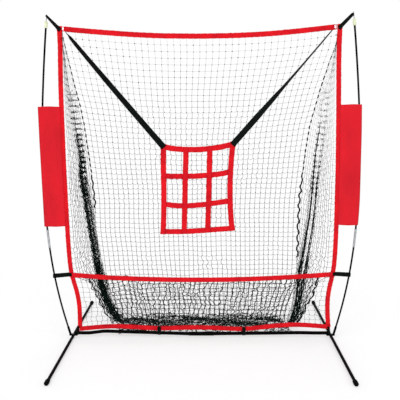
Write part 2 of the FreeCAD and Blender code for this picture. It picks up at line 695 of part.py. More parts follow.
def bar_strap(side):
    rise = f"({elbow_height(side)} - bar_middle_height) / (bar_elbow - bar_level_end)"
    height = f"bar_middle_height + (bar_strap_offset - bar_level_end) * {rise}"
    return loop_strap("YZ_Plane", ("0", height), "bar_diameter / 2 + loop_ease",
                      ("0", f"sill_low + {half_band} - loop_ease"), f"{side} * bar_strap_offset")


def corner_strap(side):
    return loop_strap("YZ_Plane", ("0", bar_height), "bar_diameter / 2 + loop_ease",
                      ("0", f"sill_height - {half_band} + corner_loop_lap"), f"{side} * corner_strap_offset")


def slanted_web(side, low, high, laps, front, thickness):
    """A strap's straight run between two points of the XZ plane, carried past each by its lap."""
    run, rise = f"(({high[0]}) - ({low[0]}))", f"(({high[1]}) - ({low[1]}))"
    slope = f"atan({rise} / {run})"
    web = primitive("Box", Length=f"sqrt({run} * {run} + {rise} * {rise}) + {laps[0]} + {laps[1]}",
                    Width=thickness, Height="strap_width")
    place(web, f"{low[0]} + strap_width / 2 * sin({slope}) - {laps[0]} * cos({slope})", front,
          f"{low[1]} - strap_width / 2 * cos({slope}) - {laps[0]} * sin({slope})", (0, -1, 0), slope)
    if side > 0:
        return web
    mirrored = doc.addObject("Part::Mirroring", "LeftWeb")
    mirrored.Source, mirrored.Normal = web, Vector(1, 0, 0)
    return mirrored


def top_strap(side, name):
    """Webbing from the pocket over the tip's pin down to the net's corner, where it laps the border's face."""
    high = along_tip(1, "pocket_start + pin_hold")
    front = "-(border_thickness / 2 + strap_thickness + stitched_skin)"
    web = slanted_web(side, ("corner_offset", "corner_height"), high, ("corner_lap", "0"), front,
                      "strap_thickness + stitched_skin")
    pocket = primitive("Box", Length="pocket_width", Width="pocket_depth", Height="pocket_length")
    base = along_tip(side, "pocket_start")
    place(pocket, f"{base[0]} - pocket_width / 2 * cos(tip_lean)", "-pocket_depth / 2",
          f"{base[1]} - {side} * pocket_width / 2 * sin(tip_lean)", (0, -side, 0), "tip_lean")
    hole = primitive("Cylinder", Radius="pin_diameter / 2 + swivel_gap", Height="pocket_length * 3")
    hole_base = along_tip(side, "pocket_start - pocket_length")
    place(hole, hole_base[0], "0", hole_base[1], (0, -side, 0), "tip_lean")
    joined = doc.addObject("Part::MultiFuse", "StrapAndPocket")
    joined.Shapes = [web, pocket]
    made = doc.addObject("Part::Cut", "TopStrap")
    made.Base, made.Tool = joined, hole
    keep(made, name + "_top_strap")


# Strike-zone target: upright and level strips sewn face to face, two straps, and the rings they hang from

def strike_grid():
    upright_names = ("left", "mid_left", "mid_right", "right")
    level_names = ("bottom", "lower", "upper", "top")
    width, height = "(target_right - target_left - strip_width)", "(target_top - target_bottom - strip_width)"
    for step, name in enumerate(upright_names):
        strip = primitive("Box", Length="strip_width", Width="strip_thickness", Height="target_top - target_bottom")
        place(strip, f"target_left + {step} / 3 * {width}", "-strip_thickness", "target_bottom")
        keep(strip, "target_upright_" + name)
    for step, name in enumerate(level_names):
        strip = primitive("Box", Length="target_right - target_left", Width="strip_thickness", Height="strip_width")
        place(strip, "target_left", "0", f"target_bottom + {step} / 3 * {height}")
        keep(strip, "target_level_" + name)


def target_ring(side):
    """A flat ring round the top border, which stands square to it."""
    body = new_body()
    section = new_sketch(body, "YZ_Plane", f"{side} * hang_offset")
    draw_circle(section, "ring_radius + ring_wire / 2", "0", "ring_height")
    draw_circle(section, "ring_radius - ring_wire / 2", "0", "ring_height")
    pad(body, section, "ring_width")
    return body


def target_strap(side, name, ring):
    corner = "target_right - hang_inset" if side > 0 else "-target_left - hang_inset"
    web = slanted_web(side, (corner, "target_top - hang_drop"), ("hang_offset", "ring_height - ring_radius"),
                      ("hang_lap", "ring_lap"), "-strip_thickness - strap_thickness", "strap_thickness")
    made = doc.addObject("Part::Cut", "TargetStrap")
    made.Base, made.Tool = web, ring
    keep(made, name + "_target_strap")


SIDES = ((-1, "left"), (1, "right"))
for side, name in SIDES:
    leg(side, name)
    group(name + "_feet", foot(side, -1), foot(side, 1))
    crossbar(side, name)
    lower_pole(side, name)
    upper_pole(side, name)
    ferrule(side, name)
    tip_pin(side, name)
    side_border(side, name)
    side_net(side, name)
    banner(side, name)
    top_strap(side, name)
alike = {"swivel_bolts": swivel_bolt, "swivel_nuts": nut, "swivel_washers": washer, "hub_plates": hub_plate,
         "pole_sockets": pole_socket, "tip_caps": tip_cap, "middle_straps": middle_strap, "bar_straps": bar_strap,
         "corner_straps": corner_strap}
for label, make in alike.items():
    group(label, *(make(side) for side, name in SIDES))
rings = [target_ring(side) for side, name in SIDES]
group("target_rings", *rings)
for (side, name), ring in zip(SIDES, rings):
    target_strap(side, name, ring)
crossbar_sleeve()
top_border()
middle_band()
bottom_border()
print("gaps", lip_net(), back_net())
floor_net()
strike_grid()

# Checks and files

doc.recompute()
for thing in doc.Objects:
    if "Invalid" in thing.State or "Error" in thing.State:
        raise RuntimeError(f"{thing.Label} ({thing.Name}) is {thing.State}")
os.makedirs("parts", exist_ok=True)
for thing in nodes:
    shape = thing.Shape
    if shape.isNull() or not shape.isValid():
        raise RuntimeError(thing.Label + " has no valid shape")
    print(f"{thing.Label:24} solids {len(shape.Solids)} volume {shape.Volume:12.0f}")
    shape.exportStep(f"parts/{thing.Label}.step")
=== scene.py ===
import itertools
import json
import math

import bpy
import numpy as np
from mathutils import Matrix, Vector


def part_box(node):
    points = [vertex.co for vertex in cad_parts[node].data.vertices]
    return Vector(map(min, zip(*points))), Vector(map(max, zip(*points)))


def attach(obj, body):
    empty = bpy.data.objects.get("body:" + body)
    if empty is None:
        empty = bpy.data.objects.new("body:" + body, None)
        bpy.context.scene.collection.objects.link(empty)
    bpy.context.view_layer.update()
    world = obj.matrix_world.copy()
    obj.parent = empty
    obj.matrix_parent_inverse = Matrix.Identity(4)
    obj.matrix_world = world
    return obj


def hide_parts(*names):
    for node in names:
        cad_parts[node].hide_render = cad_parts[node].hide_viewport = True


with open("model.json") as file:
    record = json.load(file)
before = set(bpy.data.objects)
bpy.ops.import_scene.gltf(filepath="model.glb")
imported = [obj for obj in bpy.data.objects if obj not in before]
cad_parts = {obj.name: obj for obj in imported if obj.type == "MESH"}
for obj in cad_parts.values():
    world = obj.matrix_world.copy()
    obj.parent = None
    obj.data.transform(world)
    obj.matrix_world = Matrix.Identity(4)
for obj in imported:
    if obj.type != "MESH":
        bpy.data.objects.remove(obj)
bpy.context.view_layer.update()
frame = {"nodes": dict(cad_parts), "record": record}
random = np.random.default_rng(11)

# Sizes in metres. X runs along the crossbar, the pitcher stands on the -Y side and the floor is Z = 0.

SIDES = ((-1, "left"), (1, "right"))
REARWARD = (0.0, 1.0, 0.0)

TAPE_WIDTH = 0.032
BAND_WIDTH = 0.035
TAPE_THICKNESS = 0.003
SEAM_INSET = 0.004
STRAP_WIDTH = 0.025
STRAP_THICKNESS = 0.0018
MESH = 0.0385

# Middle lines of the borders: distances from the middle and heights. The frame pulls the sides unevenly.
TOP_LINE = (
    (-0.897, 2.124), (-0.783, 2.112), (-0.626, 2.098), (-0.437, 2.083), (-0.249, 2.073), (0.0, 2.069),
    (0.253, 2.0715), (0.441, 2.08), (0.628, 2.095), (0.783, 2.111), (0.891, 2.121))
BAND_LINE = (
    (-0.922, 0.4855), (-0.9, 0.482), (-0.815, 0.4746), (-0.64, 0.461), (-0.429, 0.4525), (-0.219, 0.4462),
    (0.0, 0.445), (0.202, 0.4465), (0.411, 0.4535), (0.62, 0.4635), (0.828, 0.478), (0.905, 0.4845),
    (0.929, 0.487))
SILL_LINE = (
    (-0.889, 0.072), (-0.838, 0.0767), (-0.787, 0.0814), (-0.693, 0.0912), (-0.6, 0.0935), (-0.477, 0.0875),
    (-0.37, 0.079), (-0.303, 0.0745), (-0.262, 0.076), (-0.19, 0.08), (-0.082, 0.0838), (0.025, 0.0833),
    (0.133, 0.0786), (0.219, 0.073), (0.29, 0.069), (0.347, 0.0725), (0.419, 0.0842), (0.525, 0.0974),
    (0.632, 0.1045), (0.703, 0.1055), (0.774, 0.1), (0.846, 0.0944), (0.919, 0.086))
SIDE_LINES = {
    -1: ((0.881, 2.11), (0.884, 1.993), (0.8898, 1.901), (0.895, 1.809), (0.899, 1.715), (0.9115, 1.25),
         (0.9165, 0.85), (0.9172, 0.7), (0.916, 0.58), (0.911, 0.485), (0.8895, 0.407), (0.873, 0.332),
         (0.866, 0.256), (0.8688, 0.179), (0.8712, 0.125), (0.8725, 0.088)),
    1: ((0.8755, 2.108), (0.8768, 1.979), (0.8808, 1.888), (0.8855, 1.796), (0.8905, 1.702), (0.911, 1.25),
        (0.9215, 0.85), (0.9238, 0.69), (0.923, 0.57), (0.9185, 0.485), (0.8985, 0.406), (0.889, 0.331),
        (0.8888, 0.255), (0.8945, 0.179), (0.9, 0.125), (0.903, 0.102)),
}


# Node trees

class Tree:
    """The nodes of a material or the world."""

    def __init__(self, owner):
        owner.use_nodes = True
        self.nodes, self.links = owner.node_tree.nodes, owner.node_tree.links

    def join(self, node, inputs):
        """Sets a node's inputs: an output is linked, and anything else is a constant."""
        for key, value in inputs.items():
            if isinstance(value, bpy.types.NodeSocket):
                self.links.new(value, node.inputs[key])
            else:
                node.inputs[key].default_value = value
        return node

    def add(self, kind, inputs, **options):
        node = self.nodes.new("ShaderNode" + kind)
        for option, value in options.items():
            setattr(node, option, value)
        return self.join(node, inputs)

    def combine(self, kind, one, other):
        return self.add("Math", {0: one, 1: other}, operation=kind).outputs[0]

    def span(self, value, ends, **options):
        """A value spread over new ends."""
        return self.add("MapRange", {"Value": value, **ends}, **options).outputs[0]

    def seen_rays(self):
        """1 for rays that show a surface, and 0 for those that light it."""
        path = self.add("LightPath", {}).outputs
        rays = path["Is Camera Ray"]
        for kind in ("Is Glossy Ray", "Is Transmission Ray"):
            rays = self.combine("MAXIMUM", rays, path[kind])
        return rays


# Camera, floor and light

WHITE = (1, 1, 1, 1)
FLOOR_SIZE = 14.0
FLOOR_HEIGHT = -0.0005
LAMP_SIZE = 3.0


def link_object(name, data):
    made = bpy.data.objects.new(name, data)
    bpy.context.scene.collection.objects.link(made)
    return made


def make_camera():
    eye = Vector((0.042, -3.089, 1.677))
    pitch, yaw, roll = (math.radians(angle) for angle in (12.06, -0.86, -0.39))
    forward = Vector((math.sin(yaw) * math.cos(pitch), math.cos(yaw) * math.cos(pitch), -math.sin(pitch)))
    level = forward.cross(Vector((0, 0, 1))).normalized()
    right = level * math.cos(roll) + level.cross(forward) * math.sin(roll)
    up = right.cross(forward)
    lens = bpy.data.cameras.new("camera")
    lens.sensor_width, lens.lens = 36, 42.12
    lens.clip_start, lens.clip_end = 0.05, 100
    camera = link_object("camera", lens)
    camera.matrix_world = Matrix.Translation(eye) @ Matrix((right, up, -forward)).transposed().to_4x4()
    bpy.context.scene.camera = camera


def make_lamp(name, place, aim, power):
    """A round soft light that points at a height over the middle."""
    data = bpy.data.lights.new(name, "AREA")
    data.shape, data.size, data.energy = "DISK", LAMP_SIZE, power
    lamp = link_object(name, data)
    lamp.location = place
    lamp.rotation_euler = (Vector(place) - Vector((0, 0, aim))).to_track_quat("Z", "Y").to_euler()


def make_world():
    """Soft light from all round, which is seen as plain white."""
    world = bpy.data.worlds.new("studio")
    bpy.context.scene.world = world
    tree = Tree(world)
    strength = tree.span(tree.seen_rays(), {"To Min": 0.8, "To Max": 1.0})
    tree.join(tree.nodes["Background"], {"Color": WHITE, "Strength": strength})


def make_stage():
    """A pale floor that fades into the white background beyond the shadow."""
    data = bpy.data.meshes.new("floor")
    corners = ((-1, -1), (1, -1), (1, 1), (-1, 1))
    data.from_pydata([(x * FLOOR_SIZE, y * FLOOR_SIZE, FLOOR_HEIGHT) for x, y in corners], [], [(0, 1, 2, 3)])
    floor = link_object("floor", data)
    paint = bpy.data.materials.new("floor_paint")
    tree = Tree(paint)
    shader = tree.join(tree.nodes["Principled BSDF"],
                       {"Base Color": (0.97, 0.97, 0.97, 1), "Roughness": 1.0, "Specular IOR Level": 0.0})
    here = tree.add("TexCoord", {}).outputs["Object"]
    far = tree.add("VectorMath", {0: here}, operation="LENGTH").outputs["Value"]
    fade = tree.span(far, {"From Min": 0.9, "From Max": 2.3, "To Min": 0.55}, interpolation_type="SMOOTHSTEP")
    share = tree.combine("MULTIPLY", fade, tree.seen_rays())
    white = tree.add("Emission", {"Color": WHITE})
    mix = tree.add("MixShader", {0: share, 1: shader.outputs[0], 2: white.outputs[0]})
    tree.join(tree.nodes["Material Output"], {"Surface": mix.outputs[0]})
    data.materials.append(paint)


make_camera()
make_stage()
make_world()
make_lamp("key", (-2.6, -3.6, 4.4), 0.9, 85)
make_lamp("fill", (3.4, -3.0, 2.6), 1.0, 35)
make_lamp("back", (0.6, 4.0, 3.6), 1.0, 40)
bpy.context.scene.view_settings.view_transform = "Standard"


# Materials

def linear(colour):
    """A colour of the screen, 0 to 255, in the renderer's linear values."""
    levels = [level / 255 for level in colour]
    values = [level / 12.92 if level <= 0.04045 else ((level + 0.055) / 1.055) ** 2.4 for level in levels]
    return (*values, 1.0)


class Finish(Tree):
    """A principled material that is built up from patterns."""

    def __init__(self, name, dark, light, specular):
        self.made = bpy.data.materials.new(name)
        super().__init__(self.made)
        self.shader = self.join(self.nodes["Principled BSDF"], {"Specular IOR Level": specular})
        self.ends, self.normal = (linear(dark), linear(light)), {}

    def weave(self):
        """Pattern coordinates: along a tape or cord, across it, and a third one."""
        return self.add("Attribute", {}, attribute_name="weave").outputs["Vector"]

    def third(self):
        """A tape's height over its middle, or how near its fold a banner is."""
        return self.add("SeparateXYZ", {0: self.weave()}).outputs["Z"]

    def noise(self, scale, detail, stretch=(1, 1, 1)):
        """Cloudy patches in the object's own space."""
        here = self.add("TexCoord", {}).outputs["Object"]
        place = self.add("Mapping", {"Vector": here, "Scale": stretch}).outputs[0]
        return self.add("TexNoise", {"Vector": place, "Scale": scale, "Detail": detail}).outputs["Fac"]

    def ribs(self, direction, period, turn=0.0):
        """Even ridges, one to each period in metres, along the weave's X or Y."""
        place = self.add("Mapping", {"Vector": self.weave(), "Rotation": (0, 0, turn)}).outputs[0]
        return self.add("TexWave", {"Vector": place, "Scale": math.pi / 10 / period},
                        bands_direction=direction).outputs["Fac"]

    def product(self, one, other):
        return self.combine("MULTIPLY", one, other)

    def blend(self, one, share, other, rest):
        """Two patterns added up, each by its own share."""
        return self.combine("ADD", self.product(one, share), self.product(other, rest))

    def colours(self, pattern, *places):
        """From the dark to the light colour between two values of a pattern."""
        node = self.add("ValToRGB", {"Fac": pattern})
        for stop, place, colour in zip(node.color_ramp.elements, places, self.ends):
            stop.position, stop.color = place, colour
        self.join(self.shader, {"Base Color": node.outputs["Color"]})

    def gloss(self, pattern, smooth, rough):
        self.join(self.shader, {"Roughness": self.span(pattern, {"To Min": smooth, "To Max": rough})})

    def bump(self, pattern, depth, strength):
        """Raised and sunken places, on top of those added before."""
        node = self.add("Bump", {"Height": pattern, "Distance": depth, "Strength": strength, **self.normal})
        self.normal = {"Normal": node.outputs["Normal"]}
        self.join(self.shader, self.normal)


def webbing(finish, darkest_dip_share):
    """Woven tape: ribs, fine yarns, a little colour drift, and painted shade that darkens its edges and sewn
    lines where its face dips.
    """
    weave = finish.product(finish.ribs("X", 0.0016), finish.ribs("Y", 0.0011))
    drift = finish.noise(14.0, 4.0)
    # Painted shade: the colour darkens where the tape's face dips towards its middle plane, along its edges
    # and, on the thinner tapes, along its sewn lines.
    shade_in_dips = finish.span(finish.combine("ABSOLUTE", finish.third(), 0.0),
                       {"From Max": TAPE_THICKNESS * 0.3, "To Min": darkest_dip_share})
    finish.colours(finish.product(finish.blend(drift, 0.7, weave, 0.25), shade_in_dips), 0.15, 0.62)
    finish.gloss(drift, 0.6, 0.9)
    finish.bump(weave, 0.0003, 0.6)


def cloth(finish):
    """Plain woven polyester with faint creases, and painted shade that darkens it along its fold."""
    weave = finish.product(finish.ribs("X", 0.0009), finish.ribs("Y", 0.0009))
    creases = finish.noise(9.0, 5.0, (1.0, 1.0, 0.35))
    tone = finish.combine("ADD", finish.blend(creases, 0.5, weave, 0.15), 0.28)
    # Painted shade: the colour darkens towards the banner's fold, where the cloth turns away from the light.
    fade = finish.combine("SUBTRACT", 1.0, finish.product(finish.third(), 1.1))
    finish.colours(finish.product(tone, fade), 0.1, 0.66)
    finish.gloss(creases, 0.65, 0.9)
    finish.bump(creases, 0.004, 0.4)
    finish.bump(weave, 0.0002, 0.5)


def twine(finish):
    """Twisted cord: its strands wind round it."""
    strands = finish.ribs("X", 0.0022, turn=0.9)
    drift = finish.noise(40.0, 3.0)
    finish.colours(finish.blend(drift, 0.8, strands, 0.3), 0.35, 0.8)
    finish.gloss(drift, 0.7, 0.95)
    finish.bump(strands, 0.0004, 0.7)


def coated_steel(finish):
    """Satin powder coat with its fine orange peel and faint scuffs."""
    scuffs = finish.noise(22.0, 6.0, (1.0, 0.3, 1.0))
    finish.colours(scuffs, 0.45, 0.8)
    finish.gloss(scuffs, 0.38, 0.65)
    finish.bump(finish.noise(900.0, 2.0), 0.0002, 0.25)


def drawn_metal(finish, smooth, rough, stretch=(1.0, 1.0, 0.04)):
    """Bare or plated metal with drawing lines in one direction."""
    finish.join(finish.shader, {"Metallic": 1.0})
    lines = finish.noise(700.0, 3.0, stretch)
    finish.colours(finish.noise(60.0, 4.0), 0.3, 0.7)
    finish.gloss(lines, smooth, rough)
    finish.bump(lines, 0.0002, 0.3)


def moulded(finish, smooth, rough, bands=None):
    """Moulded plastic or rubber, with faint bands of the mould where it has them."""
    pattern = drift = finish.noise(70.0, 3.0)
    if bands:
        pattern = finish.blend(drift, 0.4, finish.noise(bands, 0.0, (0.05, 0.05, 1.0)), 0.6)
    finish.colours(pattern, 0.35, 0.65)
    finish.gloss(drift, smooth, rough)
    finish.bump(finish.noise(1500.0, 2.0), 0.0001, 0.3)


# Each slot's kind of finish, dark and light colour, specular level and whatever else the kind needs
LOOKS = {
    "red_webbing": (webbing, (176, 8, 26), (238, 24, 34), 0.1, 0.45),
    "red_cloth": (cloth, (140, 10, 24), (221, 29, 42), 0.12),
    "black_webbing": (webbing, (2, 4, 3), (20, 25, 22), 0.04, 0.4),
    "red_thread": (twine, (150, 6, 22), (206, 20, 32), 0.08),
    "black_netting": (twine, (3, 15, 11), (24, 41, 35), 0.08),
    "black_frame": (coated_steel, (1, 1, 1), (9, 10, 10), 0.03),
    "black_fibreglass": (coated_steel, (1, 1, 2), (9, 10, 13), 0.03),
    "foot_rubber": (moulded, (2, 2, 2), (10, 11, 11), 0.04, 0.6, 0.85),
    "cream_plastic": (moulded, (206, 211, 172), (226, 230, 196), 0.45, 0.4, 0.6, 45.0),
    "ferrule_steel": (drawn_metal, (160, 162, 166), (200, 202, 205), 0.5, 0.22, 0.45, (0.2, 0.2, 3.0)),
    "zinc_steel": (drawn_metal, (110, 112, 110), (155, 157, 153), 0.5, 0.3, 0.5),
    "pin_steel": (drawn_metal, (128, 130, 132), (170, 172, 174), 0.5, 0.3, 0.5),
    "ring_steel": (drawn_metal, (225, 226, 228), (245, 246, 248), 0.5, 0.15, 0.3),
}
MATERIALS = {}
for name, (dress, dark, light, specular, *rest) in LOOKS.items():
    finish = Finish(name, dark, light, specular)
    dress(finish, *rest)
    MATERIALS[name] = finish.made

for row in frame["record"]["subparts"]:
    slots = frame["nodes"][row["node"]].data.materials
    slots.clear()
    slots.append(MATERIALS[row["material_slot"]])


# Mesh making

class Shape:
    """Points, faces and pattern coordinates that are gathered into one mesh."""

    def __init__(self):
        self.points, self.weave, self.faces, self.kinds = [], [], [], []
        self.count = 0

    def add(self, points, faces, weave=None, kind=0):
        """Kind is the place of the faces' material in the list."""
        points = np.asarray(points, float).reshape(-1, 3)
        self.points.append(points)
        self.weave.append(points if weave is None else weave.reshape(-1, 3))
        self.faces += [[corner + self.count for corner in face] for face in faces]
        self.kinds += [kind] * len(faces)
        self.count += len(points)

    def build(self, name, slot, node, extras=(), body="frame"):
        """Makes the piece that stands for a CAD node. Extras are further materials."""
        data = bpy.data.meshes.new(name)
        data.from_pydata(np.concatenate(self.points).tolist(), [], self.faces)
        attribute = data.attributes.new("weave", "FLOAT_VECTOR", "POINT")
        attribute.data.foreach_set("vector", np.concatenate(self.weave).astype(np.float32).ravel())
        for material in (slot, *extras):
            data.materials.append(MATERIALS[material])
        data.polygons.foreach_set("material_index", self.kinds)
        data.polygons.foreach_set("use_smooth", [True] * len(data.polygons))
        data.update()
        made = link_object(name, data)
        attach(made, body)
        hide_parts(node)
        return made


def unit(vectors):
    return vectors / np.maximum(np.linalg.norm(vectors, axis=-1, keepdims=True), 1e-9)


def xyz(x, y, z):
    """Points from their coordinates."""
    return np.stack(np.broadcast_arrays(x, y, z), axis=-1)


def jitter(values, *strength):
    """Random shifts for values, with one strength or one for each axis."""
    return random.standard_normal(np.shape(values)) * np.array(strength)


def quads(*size, closed=True):
    """The faces of a grid of points. A closed one joins its last column to its first."""
    number = np.arange(math.prod(size)).reshape(size)
    near, far = number[..., :-1, :], number[..., 1:, :]
    faces = np.stack([near, np.roll(near, -1, axis=-1), np.roll(far, -1, axis=-1), far], axis=-1)
    return (faces if closed else faces[..., :-1, :]).reshape(-1, 4).tolist()


def hold(places, axis, least, most=None):
    """Keeps the places within limits along an axis."""
    places[..., axis] = places[..., axis].clip(least, most)


def along_path(path):
    """The distance from the start to each point of one path or several."""
    steps = np.linalg.norm(np.diff(path, axis=-2), axis=-1)
    return np.concatenate([np.zeros_like(steps[..., :1]), np.cumsum(steps, axis=-1)], axis=-1)


def read_along(values, distance, places):
    """A path's values at other distances from its start."""
    return np.stack([np.interp(places, distance, column) for column in values.T], axis=-1)


def resample(path, spacing):
    """The same path with even steps of about this length."""
    distance = along_path(path)
    count = max(2, int(round(distance[-1] / spacing)) + 1)
    return read_along(path, distance, np.linspace(0, distance[-1], count))


def eased(points):
    """An even path through points of the XZ plane, with the corners between them rounded off."""
    flat = np.array(points)
    path = resample(xyz(flat[:, 0], 0.0, flat[:, 1]), 0.0095)
    for reach in (1, 2, 3) * 3:
        path[reach:-reach] = (path[:-2 * reach] + path[reach:-reach] + path[2 * reach:]) / 3
    return path


def tape(shape, path, across, width, thickness, wobble=0.0, grow=1.0):
    """A flat tape along a path. Across is the direction of its width, and grow scales it at each point."""
    tangent = unit(np.gradient(path, axis=0))
    across = np.broadcast_to(across, path.shape)
    across = unit(across - (across * tangent).sum(1, keepdims=True) * tangent)
    facing = np.cross(across, tangent)
    # One face of the outline, from edge to edge, is puffed up between the sewn lines.
    half, line = width / 2, width / 2 - SEAM_INSET
    places = np.array([-half, -half + 0.0007, -line, -line * 0.45, 0, line * 0.45, line, half - 0.0007, half])
    heights = thickness / 2 * np.array([0.0, 0.85, 0.68, 1.0, 0.97, 1.0, 0.68, 0.85, 0.0])
    places, heights = np.append(places, places[-2:0:-1]), np.append(heights, -heights[-2:0:-1])
    distance = along_path(path)
    puckers = np.sin(distance / MESH * 2 * math.pi)[:, None]
    edge = wobble * (random.standard_normal((len(path), 2)) * 0.6 + 0.7 * puckers)
    stretch = places + edge[:, np.where(places < 0, 0, 1)] * (np.abs(places) / half) ** 3
    stretch = stretch * np.reshape(grow, (-1, 1))
    points = path[:, None] + stretch[..., None] * across[:, None] + heights[:, None] * facing[:, None]
    ends = [list(range(len(places)))[::-1], list(range(stretch.size - len(places), stretch.size))]
    shape.add(points, quads(*stretch.shape) + ends, xyz(distance[:, None], stretch, heights))
    return across, facing


def tubes(shape, paths, radius, sides=5, kind=0):
    """Many thin cords at once, each a row of the same number of points."""
    if not len(paths):
        return
    tangent = unit(np.gradient(paths, axis=1))
    chord = unit(paths[:, -1] - paths[:, 0])
    helper = np.where(np.abs(chord[:, 2:]) < 0.8, [[0.0, 0.0, 1.0]], [REARWARD])
    first = unit(np.cross(np.broadcast_to(helper[:, None], tangent.shape), tangent))
    second = np.cross(tangent, first)
    angles = np.arange(sides) * 2 * math.pi / sides
    rings = first[:, :, None] * np.cos(angles)[:, None] + second[:, :, None] * np.sin(angles)[:, None]
    points = paths[:, :, None] + rings * np.reshape(radius, (-1, 1, 1, 1))
    weave = xyz(along_path(paths)[..., None], angles / (2 * math.pi) * 0.006, 0.0)
    shape.add(points, quads(*points.shape[:-1]), weave, kind)


def ball_mesh():
    """An icosahedron's corners and faces. Each face joins three near corners, in turn seen from outside."""
    golden = (1 + math.sqrt(5)) / 2
    flat = [(0, a, b * golden) for a in (-1, 1) for b in (-1, 1)]
    corners = unit(np.array([np.roll(corner, turn) for corner in flat for turn in range(3)]))
    faces = [trio for trio in itertools.permutations(range(12), 3) if trio[0] == min(trio)
             and all(corners[a] @ corners[b] > 0.4 for a, b in itertools.combinations(trio, 2))
             and np.linalg.det(corners[list(trio)]) > 0]
    return corners, np.array(faces)


BALL = ball_mesh()


def knots(shape, places, radius):
    """A small uneven lump at each place."""
    corners, faces = BALL
    squeeze = 1 + 0.25 * random.standard_normal((len(places), 1, 3)).clip(-1.2, 1.2)
    lumps = places[:, None] + corners * squeeze * np.reshape(radius, (-1, 1, 1))
    first = np.arange(len(places))[:, None, None] * len(corners)
    shape.add(lumps, (faces + first).reshape(-1, 3).tolist())


# Netting

BACK_ROWS = 55
BACK_COLUMNS = 43
SIDE_COLUMNS = 20
KNOT_RADIUS = 0.0027
# Heights and radii of the twine, which is drawn thin near the top and is thicker where it is slack
TWINE = ((0.05, 0.45, 0.55, 1.1, 1.6, 2.05), (0.0013, 0.00125, 0.00112, 0.001, 0.00072, 0.0003))
# The least and the most spare length of a cord, and the steps that it is drawn in
CORD_STEPS = ((0.0, 0.0015, 1), (0.0015, 0.006, 2), (0.006, 1.0, 4))
# How a net settles: its rounds, and in each one the fall, the pull back and the weight of the cords' pull
SETTLING = (160, 0.0002, 0.03, 2.2)
# Nothing hangs lower than this, so that thick cords stay over the floor.
LOWEST = 0.012
# The height of the panels' last row, before they settle
LAST_ROW = 0.035
# Gathers keep this far behind the mouth and over the floor.
GATHER_GAP = 0.006
# The heap's nearest place behind the mouth, and its height
HEAP_START, HEAP_TOP = 0.05, 0.056

# Curves, as heights, distances from the middle and distances behind the mouth: first the cord down both sides
# of the back panel
SELVAGE = {
    -1: ((2.1, 0.868, 0.004), (2.043, 0.861, 0.017), (1.983, 0.855, 0.029), (1.904, 0.843, 0.044),
         (1.747, 0.822, 0.074), (1.653, 0.805, 0.092), (1.516, 0.791, 0.118), (1.343, 0.782, 0.151),
         (1.199, 0.776, 0.178), (0.973, 0.77, 0.221), (0.847, 0.78, 0.243), (0.734, 0.785, 0.262),
         (0.55, 0.778, 0.285), (0.41, 0.768, 0.29), (0.24, 0.735, 0.29), (0.12, 0.68, 0.26),
         (0.035, 0.62, 0.23)),
    1: ((2.1, 0.868, 0.004), (2.012, 0.862, 0.023), (1.922, 0.835, 0.04), (1.83, 0.811, 0.058),
        (1.736, 0.787, 0.076), (1.64, 0.768, 0.094), (1.507, 0.74, 0.119), (1.335, 0.726, 0.152),
        (1.155, 0.717, 0.186), (0.967, 0.708, 0.222), (0.77, 0.712, 0.259), (0.564, 0.722, 0.292),
        (0.41, 0.725, 0.305), (0.24, 0.712, 0.3), (0.12, 0.69, 0.27), (0.035, 0.64, 0.23)),
}
# Where the side panels bunch up, the main gather of each side first
GATHERS = {
    -1: (((2.1, 0.872, 0.003), (1.85, 0.862, 0.04), (1.734, 0.853, 0.062), (1.67, 0.847, 0.075),
          (1.57, 0.843, 0.092), (1.49, 0.837, 0.105), (1.42, 0.83, 0.117), (1.336, 0.824, 0.13),
          (1.27, 0.825, 0.14), (1.17, 0.831, 0.156), (1.093, 0.828, 0.168), (0.98, 0.82, 0.187),
          (0.856, 0.812, 0.207), (0.745, 0.808, 0.225), (0.582, 0.795, 0.252), (0.413, 0.779, 0.275),
          (0.283, 0.758, 0.29), (0.17, 0.724, 0.268), (0.095, 0.681, 0.245), (0.045, 0.611, 0.184),
          (0.03, 0.553, 0.141)),),
    1: (((2.1, 0.866, 0.003), (1.98, 0.862, 0.021), (1.85, 0.842, 0.042), (1.72, 0.812, 0.062),
         (1.64, 0.803, 0.08), (1.507, 0.805, 0.103), (1.336, 0.791, 0.131), (1.17, 0.788, 0.158),
         (1.04, 0.789, 0.178), (0.973, 0.788, 0.19), (0.851, 0.784, 0.21), (0.741, 0.776, 0.228),
         (0.579, 0.764, 0.254), (0.411, 0.748, 0.28), (0.281, 0.739, 0.295), (0.17, 0.73, 0.266),
         (0.1, 0.71, 0.24), (0.05, 0.672, 0.174), (0.03, 0.637, 0.141)),
        ((2.1, 0.866, 0.002), (1.72, 0.835, 0.052), (1.508, 0.83, 0.084), (1.339, 0.825, 0.108),
         (1.163, 0.813, 0.133), (0.98, 0.812, 0.158), (0.859, 0.808, 0.175), (0.751, 0.804, 0.189),
         (0.593, 0.792, 0.211), (0.429, 0.779, 0.231), (0.303, 0.764, 0.248), (0.19, 0.742, 0.221),
         (0.115, 0.727, 0.208), (0.06, 0.69, 0.154), (0.035, 0.657, 0.132))),
}
# The side panels' free edge below the middle band
OUTER_FOLD = {
    -1: ((0.4, 0.862, 0.262), (0.336, 0.852, 0.262), (0.266, 0.83, 0.26), (0.21, 0.8, 0.252),
         (0.14, 0.766, 0.225), (0.08, 0.709, 0.179), (0.035, 0.662, 0.163)),
    1: ((0.4, 0.87, 0.225), (0.348, 0.867, 0.225), (0.28, 0.852, 0.218), (0.23, 0.828, 0.204),
        (0.15, 0.786, 0.203), (0.1, 0.763, 0.188), (0.05, 0.721, 0.158)),
}
